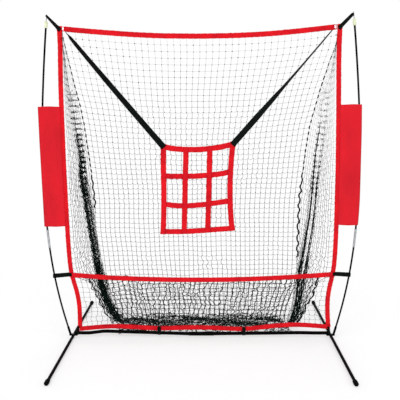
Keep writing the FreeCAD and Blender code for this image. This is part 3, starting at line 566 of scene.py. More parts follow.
# The left side holds more slack than the right. Thin is the share of its cords' thickness left high up. Clump
# is a clump's least and added number of knots. Strands are each gather's number, with the heights where its
# first and last one start, and widths run up it from the floor. Edges are shares of the way from the fold to
# the gather.
FULLNESS = {
    -1: dict(scale=1.02, thin=0.72, spread=0.04, clump=(20, 26), knot=0.0016, cord=0.0006, reach=0.0255,
             strands=((34, 1.5, 0.95),), widths=(1.5, 1.4, 1.25, 0.92, 0.92, 0.92, 0.92, 0.7), tied=0.0034,
             thick=8, edges=(0.0, 0.04, 0.25, 0.5, 0.75)),
    1: dict(scale=0.85, thin=0.5, spread=0.018, clump=(11, 9), knot=0.0013, cord=0.0003, reach=0.0105,
            strands=((14, 1.5, 0.95), (10, 1.22, 0.8)), widths=(1.5, 1.4, 1.25, 0.95, 0.6, 0.42, 0.35, 0.25),
            tied=0.0022, thick=3, edges=(0.0, 0.03, 0.07, 0.35, 0.55, 0.8)),
}


def inner_edge(z, side):
    """The side border's inner edge, as a distance from the middle, at a height."""
    line = eased(SIDE_LINES[side])[::-1]
    return np.interp(z, line[:, 2], line[:, 0]) - TAPE_WIDTH / 2


def height_on(line, x):
    """The height of a level border's middle line, at a distance along X."""
    path = eased(line)
    return np.interp(x, path[:, 0], path[:, 2])


def curve_at(points, z, side):
    """Places on one of the curves above, at heights."""
    table = np.array(points)[::-1]
    return xyz(side * np.interp(z, table[:, 0], table[:, 1]), np.interp(z, table[:, 0], table[:, 2]), z)


def add_cords(shape, starts, ends, length, drop=1.0, scale=1.0, thin=1.0):
    """Cords between knots. Slack ones bow down and a little aside. Thin is the thickness left high up."""
    gap = ends - starts
    distance = np.linalg.norm(gap, axis=1)
    spare = np.sqrt(np.maximum(length * length - distance ** 2, 0)) * 0.5
    down = np.array([0, 0, -drop]) + jitter(gap, 0.35)
    direction = unit(gap)
    bow = unit(down - (down * direction).sum(1, keepdims=True) * direction) * spare[:, None]
    level = (starts[:, 2] + ends[:, 2]) / 2
    radius = np.interp(level, *TWINE) * scale * np.interp(level, (1.1, 1.6), (1.0, thin))
    for low, high, steps in CORD_STEPS:
        chosen = (spare >= low) & (spare < high)
        share = np.linspace(0, 1, steps + 1)[:, None]
        lines = (starts[chosen][:, None] * (1 - share) + ends[chosen][:, None] * share
                 + bow[chosen][:, None] * (4 * share * (1 - share)))
        tubes(shape, lines, radius[chosen], 4)


def grid_edges(grid):
    """The pairs of knots that are joined along the rows and down the columns of a grid."""
    number = np.arange(grid[..., 0].size).reshape(grid.shape[:2])
    level = np.stack([number[:, :-1].ravel(), number[:, 1:].ravel()], 1)
    upright = np.stack([number[:-1].ravel(), number[1:].ravel()], 1)
    return level, upright


def panel(shape, places, length, knot, drop=(1.0, 0.3), scale=1.0, thin=1.0):
    """A grid of knots joined by cords along its rows and down its columns."""
    flat = places.reshape(-1, 3)
    for pairs, sag, share in zip(grid_edges(places), drop, (0.85, 1.18)):
        add_cords(shape, flat[pairs[:, 0]], flat[pairs[:, 1]], length, sag, scale * share, thin)
    knots(shape, flat, knot)


def relax(grid, length, foot_held):
    """Lets a grid of knots hang: no cord gets longer than its length, and no knot goes far from its place."""
    pairs = np.concatenate(grid_edges(grid))
    free = np.ones(grid.shape[:2])
    free[0] = free[:, 0] = free[:, -1] = 0
    if foot_held:
        free[-1] = 0
    free = free.reshape(-1, 1)
    places = goal = grid.reshape(-1, 3)
    count = np.bincount(pairs.ravel())[:, None]
    rounds, fall, pull, uptake = SETTLING
    for _ in range(rounds):
        places = places + free * (np.array([0, 0, -fall]) + (goal - places) * pull)
        gap = places[pairs[:, 1]] - places[pairs[:, 0]]
        distance = np.linalg.norm(gap, axis=1, keepdims=True)
        excess = np.maximum(distance - length, 0) / np.maximum(distance, 1e-9) * gap
        weight = free[pairs]
        total = np.maximum(weight.sum(1), 1e-9)
        shift = np.zeros_like(places)
        np.add.at(shift, pairs[:, 0], excess * weight[:, 0] / total)
        np.add.at(shift, pairs[:, 1], -excess * weight[:, 1] / total)
        places = places + shift / count * uptake
    return places.reshape(grid.shape)


def more_rows(values, count):
    """More rows made from a few, with a smooth change from each to the next."""
    place = np.linspace(0, len(values) - 2, count)
    low = place.astype(int)
    share = (place - low)[:, None]
    share = share ** 2 * (3 - 2 * share)
    return values[low] * (1 - share) + values[low + 1] * share


def smooth_noise(grid, cell, strength):
    """A field of gentle bumps over a grid, from random values that lie some cells apart."""
    rows, columns = grid.shape[:2]
    coarse = random.standard_normal((rows // cell + 3, columns // cell + 3))
    return more_rows(more_rows(coarse.T, columns).T, rows) * strength


def shares(rows, columns):
    """How far down each row of a grid lies, 0 to 1, and how far across each column, -1 to 1."""
    return np.linspace(0, 1, rows)[:, None], np.linspace(-1, 1, columns)[None]


def back_knots():
    """The knots of the back panel, row by row from the top border down to the floor."""
    top = TOP_LINE[0][1] - TAPE_WIDTH / 2
    level = top + (LAST_ROW - top) * np.linspace(0, 1, BACK_ROWS)
    left, right = (curve_at(SELVAGE[side], level, side)[:, None] for side in (-1, 1))
    down = np.linspace(0, 1, BACK_ROWS)[:, None]
    share = np.linspace(0, 1, BACK_COLUMNS)
    places = left * (1 - share)[:, None] + right * share[:, None]
    bow = 1 - (2 * share - 1) ** 2
    places[..., 2] -= np.interp(down, (0, 0.2, 0.5, 0.75, 1), (0.054, 0.052, 0.012, 0.0, 0.008)) * bow
    places[..., 1] += 0.02 * bow * np.sin(math.pi * down)
    places[..., 1] += smooth_noise(places, 7, 0.01) * down
    for axis in (0, 2):
        places[..., axis] += smooth_noise(places, 5, 0.0045) * down ** 0.7 * bow
    places[0, :, 2] = height_on(TOP_LINE, places[0, :, 0]) - TAPE_WIDTH / 2 + 0.003
    hold(places, 2, LOWEST)
    return places


def side_knots(side, back):
    """The knots of a side panel, from its border, or lower down its free edge, to the back panel's side."""
    selvage = back[:, 0 if side < 0 else -1]
    level = selvage[:, 2]
    border = xyz(side * inner_edge(level, side), 0.0005, level + 0.004)
    free = np.clip((0.45 - level) / 0.11, 0, 1)[:, None]
    border = border * (1 - free) + curve_at(OUTER_FOLD[side], level.clip(LAST_ROW, 0.4), side) * free
    gathers = [curve_at(points, level.clip(LAST_ROW, 2.1), side) for points in GATHERS[side]]
    anchors = [border, *gathers[::-1], selvage]
    # The columns between which the net runs from anchor to anchor, and the anchor at each of them
    stops, tracks = (((0, 12, 15, 19), (0, 1, 1, 2)) if len(gathers) == 1
                     else ((0, 9, 10, 13, 14, 19), (0, 1, 1, 2, 2, 3)))
    places = np.zeros((BACK_ROWS, SIDE_COLUMNS, 3))
    hang = np.interp(level, (0.45, 0.62, 1.4, 2.0), (0.0, 0.06, 0.055, 0.0))
    for column in range(SIDE_COLUMNS):
        after = max(1, int(np.searchsorted(stops, column)))
        before = after - 1
        part = (column - stops[before]) / (stops[after] - stops[before])
        if before:
            sag = max(0.0, 1 - (column - stops[1]) / (stops[-1] - stops[1]) * 1.1)
        else:
            part = sag = part ** 0.8
        places[:, column] = anchors[tracks[before]] * (1 - part) + anchors[tracks[after]] * part
        places[:, column, 2] -= hang * sag
    down = np.linspace(0, 1, BACK_ROWS)[:, None]
    inner = places[:, 1:-1]
    ways = np.where(np.arange(SIDE_COLUMNS - 2) % 2, 1, -1)
    folds = ways * np.interp(down, (0, 0.12, 0.5, 1), (0.0, 0.009, 0.013, 0.016))
    inner[..., 1] += folds + smooth_noise(inner, 4, 0.004) * down
    inner[..., 0] += side * folds * 0.25
    inner += jitter(inner, 0.0012, 0.0025, 0.0025) * (0.35 + down)[..., None]
    hold(inner, 1, 0.004)
    places[:, -1] = selvage
    hold(places, 2, LOWEST)
    return places


def back_netting():
    places = relax(back_knots(), MESH * 1.03, foot_held=True)
    shape = Shape()
    panel(shape, places, MESH, np.interp(places[..., 2].ravel(), (0.5, 1.2, 2.0), (0.0028, 0.0029, 0.0033)))
    edge_cords(shape, places)
    crumpled_layer(shape)
    shape.build("back_netting", "black_netting", "back_net")
    return places


def crumpled_layer(shape):
    """The slack at the foot of the back panel, which hangs doubled in front of it."""
    down, share = shares(10, 37)
    z = 0.336 - 0.311 * down
    y = 0.004 + (2.114 - z) * 0.19 - 0.045 - 0.03 * np.sin(math.pi * down) - 0.1 * down ** 4
    places = xyz(share * (0.735 - 0.07 * down) - 0.025 * down, y, z)
    for axis, strength in enumerate((0.008, 0.012, 0.009)):
        places[..., axis] += smooth_noise(places, 4, strength)
    places += jitter(places, 0.002)
    hold(places, 2, LOWEST + 0.002)
    panel(shape, places, MESH * 1.06, 0.0048, drop=(0.8, 0.2), scale=2.15)


def edge_cords(shape, places):
    """The thick cord down both sides of the back panel. Where it is tight only its bound lengths show."""
    for column, last, reach in ((0, 33, 0.004), (-1, 43, 0.007)):
        line = resample(places[:last, column], 0.007)
        distance = along_path(line)
        depth = reach * np.interp(distance, (0.0, 0.9, 1.1), (0.06, 0.12, 1.0))
        line[:, 0] += depth * np.sin(distance / 0.083 * 2 * math.pi + 0.9 * np.sin(distance * 11))
        line[:, 1] += depth * np.cos(distance / 0.047 * 2 * math.pi)
        line[:, 0] += jitter(distance, 0.0006)
        tubes(shape, line[None], 0.0008)
        for start in range(0, len(line) - 6, 6):
            stop = start + (7 if distance[start] > 0.95 else 4)
            thick = np.interp(distance[start], (0.0, 0.3, 0.9, 1.1), (0.002, 0.0042, 0.005, 0.0055))
            tubes(shape, line[None, start:stop], thick, 6)
        knots(shape, line[::6], 0.0034)


def side_netting(side, name, back):
    look = FULLNESS[side]
    places = relax(side_knots(side, back), MESH * 1.1, foot_held=False)
    hold(places, 1, 0.004)
    # The net hangs clear of the target's ring, which swings at its corner.
    out, z = side * places[..., 0], places[..., 2]
    places[(np.abs(out - 0.85) < 0.022) & (z > 2.072) & (z < 2.106), 2] = 2.07
    shape = Shape()
    knot = np.interp(places[:, 1:, 2].ravel(), (0.9, 1.2, 1.45, 2.0), (0.0026, 0.0019, 0.0009, 0.0004))
    panel(shape, places[:, 1:], MESH, knot, scale=look["scale"], thin=look["thin"])
    add_cords(shape, places[:, 0], places[:, 1], MESH, scale=0.8, thin=0.5)
    for number, points in enumerate(GATHERS[side]):
        clumps(shape, side, points)
        gather_strands(shape, side, points, number)
    free_edge(shape, side)
    shape.build(name + "_side_netting", "black_netting", name + "_side_net")


def clumps(shape, side, points):
    """Where the gathers begin, the slack of each row of meshes hangs in a clump of its own."""
    look = FULLNESS[side]
    least, more = look["clump"]
    for level in np.arange(1.72, 1.00, -MESH):
        share = (1.74 - level) / 0.74
        centre = curve_at(points, level + random.normal() * 0.003, side)
        count = int(least + more * share)
        across = random.uniform(-1, 1, count) * look["spread"] * (1 - 0.5 * share)
        spots = centre + jitter(np.zeros((count, 3)), 0.001, 0.01, 0.0035 + 0.003 * share)
        spots[:, 0] += across - side * 0.004 * (1 - share)
        knots(shape, spots, look["knot"] + 0.0012 * share)
        middle = (spots[:-1] + spots[1:]) / 2 + jitter(spots[1:], 0.004)
        tubes(shape, np.stack([spots[:-1], middle, spots[1:]], axis=1), look["cord"] + 0.0006 * share, 4)


def gather_strands(shape, side, points, number):
    """The bunched cords of a gather, closest along its edges, and the loops that hang out of the main one."""
    look = FULLNESS[side]
    reach = look["reach"]
    strands, highest, fullest = look["strands"][number]
    for strand in range(strands):
        start = highest + (fullest - highest) * strand / strands
        level = np.arange(start + random.uniform(-0.03, 0.03), 0.032, -0.01)
        line = curve_at(points, level, side)
        width = reach * np.interp(level, (0.03, 0.1, 0.42, 0.52, 0.7, 0.9, 1.1, 1.5), look["widths"])
        if strand % 4 < 3:
            home = random.uniform(0.45, 0.85) * (1 if strand % 2 else -1)
        else:
            home = random.uniform(-0.4, 0.4)
        phase = random.uniform(0, 2 * math.pi, 4)
        sway = home + 0.26 * np.sin(level / 0.0125 + phase[0]) + 0.2 * np.sin(level / 0.0062 + phase[1])
        line[:, 0] += width * sway + jitter(level, 0.0008)
        swing = 0.8 * np.sin(level / 0.047 + phase[2]) + 0.3 * np.sin(level / 0.015 + phase[3])
        line[:, 1] += width * swing
        line[:, 2] += jitter(level, 0.002)
        hold(line, slice(1, 3), GATHER_GAP)
        tubes(shape, line[None], 0.0015, 4)
        tied = line[random.integers(0, 4)::4]
        knots(shape, tied, np.interp(tied[:, 2], (0.5, 0.8), (0.0034, look["tied"])))
    for strand in range(look["thick"]):
        level = np.arange(0.52 - 0.012 * strand, 0.032, -0.012)
        line = curve_at(points, level, side)
        line[:, 0] += reach * (random.uniform(-0.9, 0.9) + 0.3 * np.sin(level / 0.02 + strand))
        line[:, 1] += reach * (random.uniform(-0.5, 0.5) + 0.3 * np.cos(level / 0.03 + strand))
        hold(line, slice(1, 3), GATHER_GAP)
        tubes(shape, line[None], 0.0032)
    turns = np.linspace(0, math.pi, 7)
    for level in () if number else np.arange(1.15, 0.3, -0.014):
        foot = curve_at(points, level, side) - np.array([side * reach * 0.85, 0, 0])
        out, drop = random.uniform(0.006, 0.017), random.uniform(0.006, 0.014)
        loop = foot + xyz(-side * out * np.sin(turns), 0.01 * np.sin(turns * 2), drop * np.cos(turns))
        tubes(shape, loop[None], 0.0013, 4)


def free_edge(shape, side):
    """The side panel's free edge below the middle band, in long knotted loops."""
    level = np.arange(0.375, 0.03, -0.006)
    fold, gather = curve_at(OUTER_FOLD[side], level, side), curve_at(GATHERS[side][-1], level, side)
    for part in FULLNESS[side]["edges"]:
        line = fold * (1 - part) + gather * part
        phase = random.uniform(0, 2 * math.pi, 2)
        line[:, 0] += 0.008 * np.sin(level / random.uniform(0.008, 0.012) + phase[0])
        line[:, 1] += 0.01 * np.cos(level / random.uniform(0.012, 0.02) + phase[1])
        line[:, 2] += 0.006 * np.sin(level / 0.009 + phase[1])
        hold(line, 2, 0.0075)
        tubes(shape, line[None], 0.0032 if part < 0.1 else 0.0024)
        knots(shape, line[::5], 0.0046)


def lip_netting():
    """The tight panel between the middle band and the bottom border."""
    down, share = shares(11, 48)
    top_z = height_on(BAND_LINE, share * 0.904) - BAND_WIDTH / 2 + 0.003
    low_z = height_on(SILL_LINE, share * 0.885) + BAND_WIDTH / 2 - 0.003
    z = top_z * (1 - down) + low_z * down
    reach = np.where(share < 0, inner_edge(z, -1), inner_edge(z, 1)) + 0.003
    places = xyz(share * reach, 0.0, z)
    places[1:-1, 1:-1] += jitter(places[1:-1, 1:-1], 0.0015, 0.002, 0.0015)
    places[..., 0] += smooth_noise(places, 4, 0.003) * np.sin(math.pi * down)
    shape = Shape()
    panel(shape, places, MESH, KNOT_RADIUS * 0.75, scale=0.68)
    shape.build("lip_netting", "black_netting", "lip_net")


def heap_netting():
    """The spare netting on the floor behind the bottom border, in many loose folds."""
    run, share = shares(31, 42)
    phase = run * 6.5 * math.pi * 2
    y = 0.055 + 0.235 * run + 0.024 * np.sin(phase + 1.3 * np.sin(share * 5))
    high = 0.023 * np.interp(share, (-1, -0.75, -0.6, 0.9, 1), (0.55, 0.65, 1.0, 1.0, 0.7))
    z = 0.006 + high * (1 + np.cos(phase + 1.7 * np.sin(share * 7 + run * 9))) * (1 - 0.15 * run)
    places = xyz(0.01 + share * (0.64 - 0.06 * run), y, z)
    places += jitter(places, 0.01, 0.01, 0.007)
    hold(places, 2, 0.004, HEAP_TOP)
    hold(places, 1, HEAP_START, 0.345)
    shape = Shape()
    flat = places.reshape(-1, 3)
    for pairs in grid_edges(places):
        starts, ends = flat[pairs[:, 0]], flat[pairs[:, 1]]
        # Next to the bottom border half of the cords are left out, as the heap is thin there.
        loose = (starts[:, 1] > 0.105) | (np.arange(len(starts)) % 2 > 0)
        starts, ends = starts[loose], ends[loose]
        middle = (starts + ends) / 2 + jitter(starts, 0.008, 0.008, 0.006)
        hold(middle, 2, 0.003, HEAP_TOP)
        hold(middle, 1, HEAP_START, 0.35)
        tubes(shape, np.stack([starts, middle, ends], axis=1), 0.0019, 4)
    tied = flat[::2]
    knots(shape, tied[tied[:, 1] > 0.085], 0.0033)
    shape.build("floor_netting", "black_netting", "floor_net")


# Red borders

STITCH_PITCH = 0.009
STITCH_LENGTH = 0.0055
STITCH_RADIUS = 0.00045
# The places of the thread and the metal in a tape's list of materials
THREAD, METAL = 1, 2
EYELET_RADIUS = 0.0055
# An eyelet's outline: shares of its radius, and distances from the tape's middle
EYELET = ((1.0, 0.0014), (0.9, 0.0024), (0.62, 0.0025), (0.5, 0.0015), (0.0, 0.0014))


def stitches(shape, path, across, facing, offset, rise):
    """A row of thread stitches that lies on a tape's face, at an offset across it."""
    distance = along_path(path)
    starts = np.arange(STITCH_PITCH / 2, distance[-1] - STITCH_PITCH, STITCH_PITCH)
    at = starts[:, None] + np.array([0.0, 0.5, 1.0]) * STITCH_LENGTH
    middle, aside, out = (read_along(values, distance, at) for values in (path, across, facing))
    lift = rise + np.array([[-0.0004], [0.0003], [-0.0004]])
    tubes(shape, middle + aside * offset + out * lift, STITCH_RADIUS, 4, THREAD)


def sewn_tape(shape, path, width, thickness, wobble):
    """A tape that faces the pitcher, with a row of stitches along both edges of both faces."""
    across = np.cross(unit(np.gradient(path, axis=0)), REARWARD)
    across, facing = tape(shape, path, across, width, thickness, wobble)
    for offset in (SEAM_INSET - width / 2, width / 2 - SEAM_INSET):
        for way in (-1, 1):
            stitches(shape, path, across, facing * way, offset, thickness * 0.34)


def border(name, path, width, node, eyelets=()):
    path[:, 1] += 0.0005 * np.sin(along_path(path) * 9)
    shape = Shape()
    sewn_tape(shape, path, width, TAPE_THICKNESS, 0.0006)
    for x, z, tall in eyelets:
        eyelet(shape, x, z, tall)
    shape.build(name, "red_webbing", node, ("red_thread", "ring_steel"))


def eyelet(shape, x, z, tall):
    """A pressed metal eyelet on both faces of a tape. Tall is its height, as a share of its width."""
    around = np.arange(24) * 2 * math.pi / 24
    wide, high = EYELET_RADIUS, EYELET_RADIUS * tall
    for way in (-1, 1):
        points = [(x + wide * share * math.cos(a), way * y, z + high * share * math.sin(a))
                  for share, y in EYELET for a in around]
        shape.add(points, [face[::way] for face in quads(len(EYELET), 24)], kind=METAL)


def borders():
    border("top_border_tape", eased(TOP_LINE), TAPE_WIDTH, "top_border",
           ((-0.8585, 2.1215, 2.1), (0.8461, 2.119, 2.1)))
    # The band's ends lap over the front of the side borders.
    band = eased(BAND_LINE)
    lap = np.clip((np.abs(band[:, 0]) - 0.868) / 0.02, 0, 1)
    band[:, 1] -= (TAPE_THICKNESS + 0.0004) * lap * lap * (3 - 2 * lap)
    border("middle_band_tape", band, BAND_WIDTH, "middle_band")
    border("bottom_border_tape", eased(SILL_LINE), BAND_WIDTH, "bottom_border",
           ((-0.8809, 0.07, 1.0), (0.9055, 0.0815, 1.0)))
    for side, name in SIDES:
        path = eased(SIDE_LINES[side])
        path[:, 0] *= side
        border(name + "_border_tape", path, TAPE_WIDTH, name + "_border")


# Banners: a fold of cloth round each pole, sewn to the side border

# The folded outer edge of each banner, as heights and distances from the middle
FOLD_EDGE = {
    -1: ((0.836, 1.073), (1.017, 1.0695), (1.155, 1.0668), (1.29, 1.064), (1.423, 1.0615), (1.604, 1.0563),
         (1.642, 1.055)),
    1: ((0.84, 1.0668), (0.885, 1.0688), (1.009, 1.0693), (1.146, 1.0645), (1.28, 1.0594), (1.346, 1.0568),
        (1.476, 1.0518), (1.616, 1.044), (1.643, 1.0424)),
}
BANNER_ROWS = 84
BANNER_COLUMNS = 48
BANNER_RADIUS = 0.013
BANNER_CLOTH = 0.0012
# How far the cloth lies from the border's middle plane at the seam
SEAM_RISE = 0.0027


def banner(side, name):
    """One sheet that runs from the border's front round the pole and back to the border's rear."""
    low, high = FOLD_EDGE[side][0][0], FOLD_EDGE[side][-1][0]
    level = np.linspace(low, high, BANNER_ROWS)
    fold = np.interp(level, *np.array(FOLD_EDGE[side]).T) - BANNER_RADIUS
    fold[5:-5] = np.convolve(fold, np.full(11, 1 / 11), "valid")
    seam = inner_edge(level, side) + TAPE_WIDTH - 0.009
    level, fold, seam = level[:, None], fold[:, None], seam[:, None]
    girth = np.linspace(-1, 1, BANNER_COLUMNS)
    quarter = math.pi * BANNER_RADIUS / 2
    width = fold - seam
    half = width + quarter
    # Turning is the way along the cloth from the middle of the fold.
    turning = half * (1 - np.abs(girth))
    near_fold = turning < quarter
    bend = (quarter - np.minimum(turning, quarter)) / BANNER_RADIUS
    x = np.where(near_fold, fold + BANNER_RADIUS * np.sin(bend), fold - (turning - quarter))
    taper = np.clip((x - seam) / width, 0, 1)
    y = np.where(near_fold, BANNER_RADIUS * np.cos(bend), SEAM_RISE + (BANNER_RADIUS - SEAM_RISE) * taper)
    diagonal = 0.0011 * np.sin(x * 60 + level * 26) * np.sin(level * 7 + side)
    slack = smooth_noise(x, 9, 0.0011) + smooth_noise(x, 4, 0.0005)
    crease = (slack + diagonal) * np.clip(taper * 4, 0, 1) * np.clip((1 - taper) * 6, 0.2, 1)
    z = level + 0.0012 * np.sin(x * 45 + np.where(level > low, 1, 4))
    # Painted shade: how near the fold each point lies, which the cloth's colour is darkened by.
    dark = np.clip(1 - turning / (quarter * 0.75), 0, 1)
    shape = Shape()
    shape.add(xyz(side * x, (y + crease) * np.where(girth < 0, -1.0, 1.0), z), quads(*x.shape, closed=False),
              xyz(girth * half, level, dark))
    made = shape.build(name + "_banner_cloth", "red_cloth", name + "_banner")
    thick = made.modifiers.new("cloth", "SOLIDIFY")
    thick.thickness, thick.offset = BANNER_CLOTH, 0
    bpy.context.view_layer.update()


# Black straps

BAR_RADIUS = 0.012
BAR_END_HEIGHT = 0.0408
# Between its level middle part and its elbows the crossbar rises in a straight line.
BAR_LEVEL_END = 0.095
BAR_MIDDLE_HEIGHT = 0.035
BAR_ELBOW = 0.7
ELBOW_HEIGHT = {-1: 0.055, 1: 0.043}
# How far from the middle the straps round the crossbar lie
BAR_STRAP = 0.303
# The pole's distance from the middle where the middle loops hold it, its radius there and the loops' width
LOOP_POLE, LOOP_POLE_RADIUS, MIDDLE_LOOP_WIDTH = 1.0302, 0.0078, 0.026
# The middle loops: their distance from the middle at the border, and their heights there and at the pole
MIDDLE_LOOPS = {-1: (0.905, 0.488, 0.4755), 1: (0.915, 0.489, 0.4815)}
# The corner loops: their distances from the middle at the top and at the bar, and their widths
CORNER_LOOPS = {-1: (0.8815, 0.8935, 0.0125), 1: (0.903, 0.916, 0.0165)}
TOP_STRAP_WIDTH = 0.0225
TOP_STRAP_THICKNESS = 0.0026
# The top straps: the ends in X and Z, at the net and at the pole's pin, and shares of the width on the way
TOP_STRAPS = {
    -1: ((-0.876, 2.1115), (-0.9598, 2.2005), (1.15, 1.15, 1.0, 0.6, 0.56)),
    1: ((0.868, 2.108), (0.954, 2.1955), (1.15, 1.15, 1.05, 0.85, 0.8)),
}


def loop_path(axis, centre, radius, end, gap):
    """A U along X or Z, from its end's front face round a bar and back to the end's rear face."""
    turns = np.linspace(-math.pi / 2, -math.pi * 3 / 2, 15)
    way = 1 if end > centre else -1
    path = np.zeros((len(turns) + 2, 3))
    path[:, axis] = centre + np.concatenate([[end - centre], radius * np.cos(turns) * way, [end - centre]])
    path[:, 1] = np.concatenate([[-gap], radius * np.sin(turns), [gap]])
    return path


def strap_loop(name, path, across, node, width=STRAP_WIDTH):
    shape = Shape()
    tape(shape, resample(path, 0.006), across, width, STRAP_THICKNESS)
    shape.build(name, "black_webbing", node)


def loops():
    gap = TAPE_THICKNESS / 2 + STRAP_THICKNESS / 2 + 0.0003
    around = STRAP_THICKNESS / 2 + 0.001
    for side, name in SIDES:
        inner, inner_z, pole_z = MIDDLE_LOOPS[side]
        path = loop_path(0, side * LOOP_POLE, LOOP_POLE_RADIUS + around, side * inner, gap + 0.0034)
        share = (np.abs(path[:, 0]) - inner) / (1.04 - inner)
        path[:, 2] = inner_z + (pole_z - inner_z) * share
        strap_loop(name + "_middle_loop", path, (0, 0, 1), "middle_straps", MIDDLE_LOOP_WIDTH)
        slope = (ELBOW_HEIGHT[side] - BAR_MIDDLE_HEIGHT) / (BAR_ELBOW - BAR_LEVEL_END)
        bar_height = BAR_MIDDLE_HEIGHT + (BAR_STRAP - BAR_LEVEL_END) * slope
        sill_height = float(height_on(SILL_LINE, side * BAR_STRAP))
        path = loop_path(2, bar_height, BAR_RADIUS + around, sill_height + 0.0165, gap)
        path[:, 0] = side * BAR_STRAP
        strap_loop(name + "_bar_loop", path, (1, 0, 0), "bar_straps")
        high_x, low_x, width = CORNER_LOOPS[side]
        path = loop_path(2, BAR_END_HEIGHT, BAR_RADIUS + around, 0.092, gap + 0.0016)
        share = np.clip((path[:, 2] - 0.028) / 0.064, 0, 1)
        path[:, 0] = side * (low_x + (high_x - low_x) * share)
        strap_loop(name + "_corner_loop", path, (1, 0, 0), "corner_straps", width)


def top_straps():
    """Narrow at the pole's pin, and wider where the strap laps over the net's corner."""
    for side, name in SIDES:
        (low_x, low_z), (high_x, high_z), widths = TOP_STRAPS[side]
        start, end = np.array([low_x, -0.004, low_z]), np.array([high_x, -0.0058, high_z])
        across = np.cross(unit(end - start), REARWARD)
        shape = Shape()
        for way in (1, -1):
            path = resample(np.linspace(start, end, 12) * np.array([1, way, 1]), 0.004)
            share = np.linspace(0, 1, len(path))
            round_off = np.sqrt(np.clip(1 - (np.clip(share - 0.95, 0, 1) / 0.06) ** 2, 0, 1))
            grow = np.interp(share, (0, 0.16, 0.24, 0.9, 1), widths) * round_off.clip(0.5, 1)
            path[:, 1] += way * 0.0006 * np.sin(share * 9)
            tape(shape, path, across, TOP_STRAP_WIDTH, TOP_STRAP_THICKNESS, grow=grow)
        shape.build(name + "_top_webbing", "black_webbing", name + "_top_strap")


# Strike-zone target

STRIP_WIDTH = 0.037
STRIP_THICKNESS = 0.002
TARGET_STRAP_WIDTH = 0.042
# Where the strips' middle lines cross, from the bottom row up and from left to right
CROSSINGS = np.array((
    ((-0.2588, 0.7973), (-0.1134, 0.7969), (0.0476, 0.8057), (0.2129, 0.8187)),
    ((-0.2489, 0.9912), (-0.1081, 0.977), (0.0529, 0.989), (0.1987, 1.011)),
    ((-0.2466, 1.1815), (-0.1008, 1.179), (0.0588, 1.186), (0.2, 1.208)),
    ((-0.2432, 1.3765), (-0.0944, 1.3575), (0.0626, 1.3632), (0.2146, 1.392)),
))
# The strips of each direction: their names, the target's size along them, and their place along Y
STRIPS = (("upright", ("left", "mid_left", "mid_right", "right"), 0.565, -0.0011),
          ("level", ("bottom", "lower", "upper", "top"), 0.46, 0.0011))
# The target's straps: the upper end in X and Z, places up the strap, and the share of its width that shows
TARGET_STRAPS = {
    -1: ((-0.8405, 2.1), (0, 0.15, 0.4, 0.6, 0.8, 0.9, 0.95, 0.975, 1),
         (1, 0.96, 0.93, 0.87, 0.74, 0.68, 0.64, 0.3, 0.24)),
    1: ((0.824, 2.0965), (0, 0.26, 0.34, 0.43, 0.51, 0.6, 0.68, 0.76, 0.85, 1),
        (0.9, 0.88, 0.72, 0.62, 0.38, 0.25, 0.18, 0.12, 0.1, 0.1)),
}
STRAP_DEPTH = -0.0034


def shares_of(place):
    """How much each of four evenly spread points counts at a place on the smooth curve through them."""
    spots = (0, 1 / 3, 2 / 3, 1)
    return np.array([math.prod((place - other) / (spot - other) for other in spots if other != spot)
                     for spot in spots])


def target_point(across, up):
    """A place on the target, from its left to its right strip and from its bottom to its top strip."""
    return np.einsum("i,j,ijk->k", shares_of(up), shares_of(across), CROSSINGS)


def target():
    for kind, names, size, y in STRIPS:
        reach = STRIP_WIDTH / 2 / size
        run = -reach + np.linspace(0, 1, 40) * (1 + 2 * reach)
        for step, name in enumerate(names):
            x, z = np.array([target_point(*((step / 3, part) if kind == "upright" else (part, step / 3)))
                             for part in run]).T
            wave = 0.0012 * np.sin(np.linspace(0, 9, len(run)) + y * 900)
            path = resample(xyz(x, y + wave * 0.5, z), 0.0095)
            shape = Shape()
            sewn_tape(shape, path, STRIP_WIDTH, STRIP_THICKNESS, 0.0009)
            shape.build(f"target_{kind}_tape_{name}", "red_webbing", f"target_{kind}_{name}", ("red_thread",),
                        body="target")


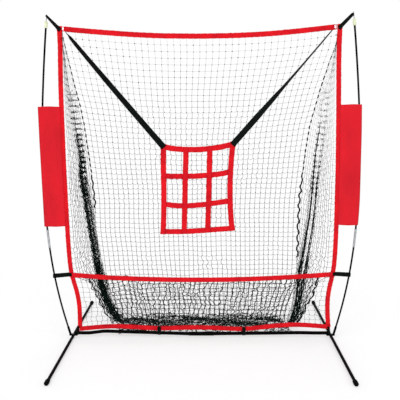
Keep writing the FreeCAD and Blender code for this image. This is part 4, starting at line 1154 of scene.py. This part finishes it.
def target_straps():
    """Two straps from the grid's top corners to the rings, which turn towards edge on as they rise."""
    rear = np.array(REARWARD)
    for side, name in SIDES:
        (high_x, high_z), places, shown = TARGET_STRAPS[side]
        low_x, low_z = target_point(0 if side < 0 else 1, 1) + np.array([-side * 0.004, -0.004])
        low, high = np.array([low_x, STRAP_DEPTH, low_z]), np.array([high_x, STRAP_DEPTH, high_z])
        share = np.linspace(0, 1, 120)
        path = low + (high - low) * share[:, None]
        path[:, 2] -= 0.004 * np.sin(math.pi * share)
        turn = np.arccos(np.interp(share, places, shown))
        grow = np.interp(share, (0, 0.9, 1), (1, 1, 0.65))
        path[:, 1] -= TARGET_STRAP_WIDTH / 2 * grow * np.sin(turn)
        flat_across = np.cross(unit(high - low), rear)
        across = flat_across * np.cos(turn)[:, None] + rear * np.sin(turn)[:, None]
        shape = Shape()
        tape(shape, path, across, TARGET_STRAP_WIDTH, STRAP_THICKNESS, grow=grow)
        shape.build(name + "_target_webbing", "black_webbing", name + "_target_strap", body="target")


# Feet: smooth rubber bulbs

# A bulb's outline: distances back from its nose, and radii
BULB = ((0.044, 0.0102), (0.044, 0.0125), (0.043, 0.0134), (0.038, 0.0138), (0.032, 0.015), (0.014, 0.015),
        (0.008, 0.0142), (0.004, 0.012), (0.0012, 0.0085), (0.0, 0.004), (0.0, 0.0))
BULB_SIDES = 32


def feet():
    angles = np.arange(BULB_SIDES) * 2 * math.pi / BULB_SIDES
    for side, name in SIDES:
        low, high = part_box(name + "_feet")
        centre_x, centre_z = (low.x + high.x) / 2, high.z - (high.x - low.x) / 2
        for end, end_name, nose in ((-1, "front", -low.y), (1, "rear", high.y)):
            points = [(centre_x + r * math.sin(a), end * (nose - back), max(centre_z + r * math.cos(a), 0.0))
                      for back, r in BULB for a in angles]
            shape = Shape()
            shape.add(points, [face[::-end] for face in quads(len(BULB), BULB_SIDES)])
            shape.build(f"{name}_{end_name}_foot", "foot_rubber", name + "_feet", body=name + "_leg")


borders()
for side, name in SIDES:
    banner(side, name)
loops()
top_straps()
target()
target_straps()
feet()
back = back_netting()
for side, name in SIDES:
    side_netting(side, name, back)
lip_netting()
heap_netting()
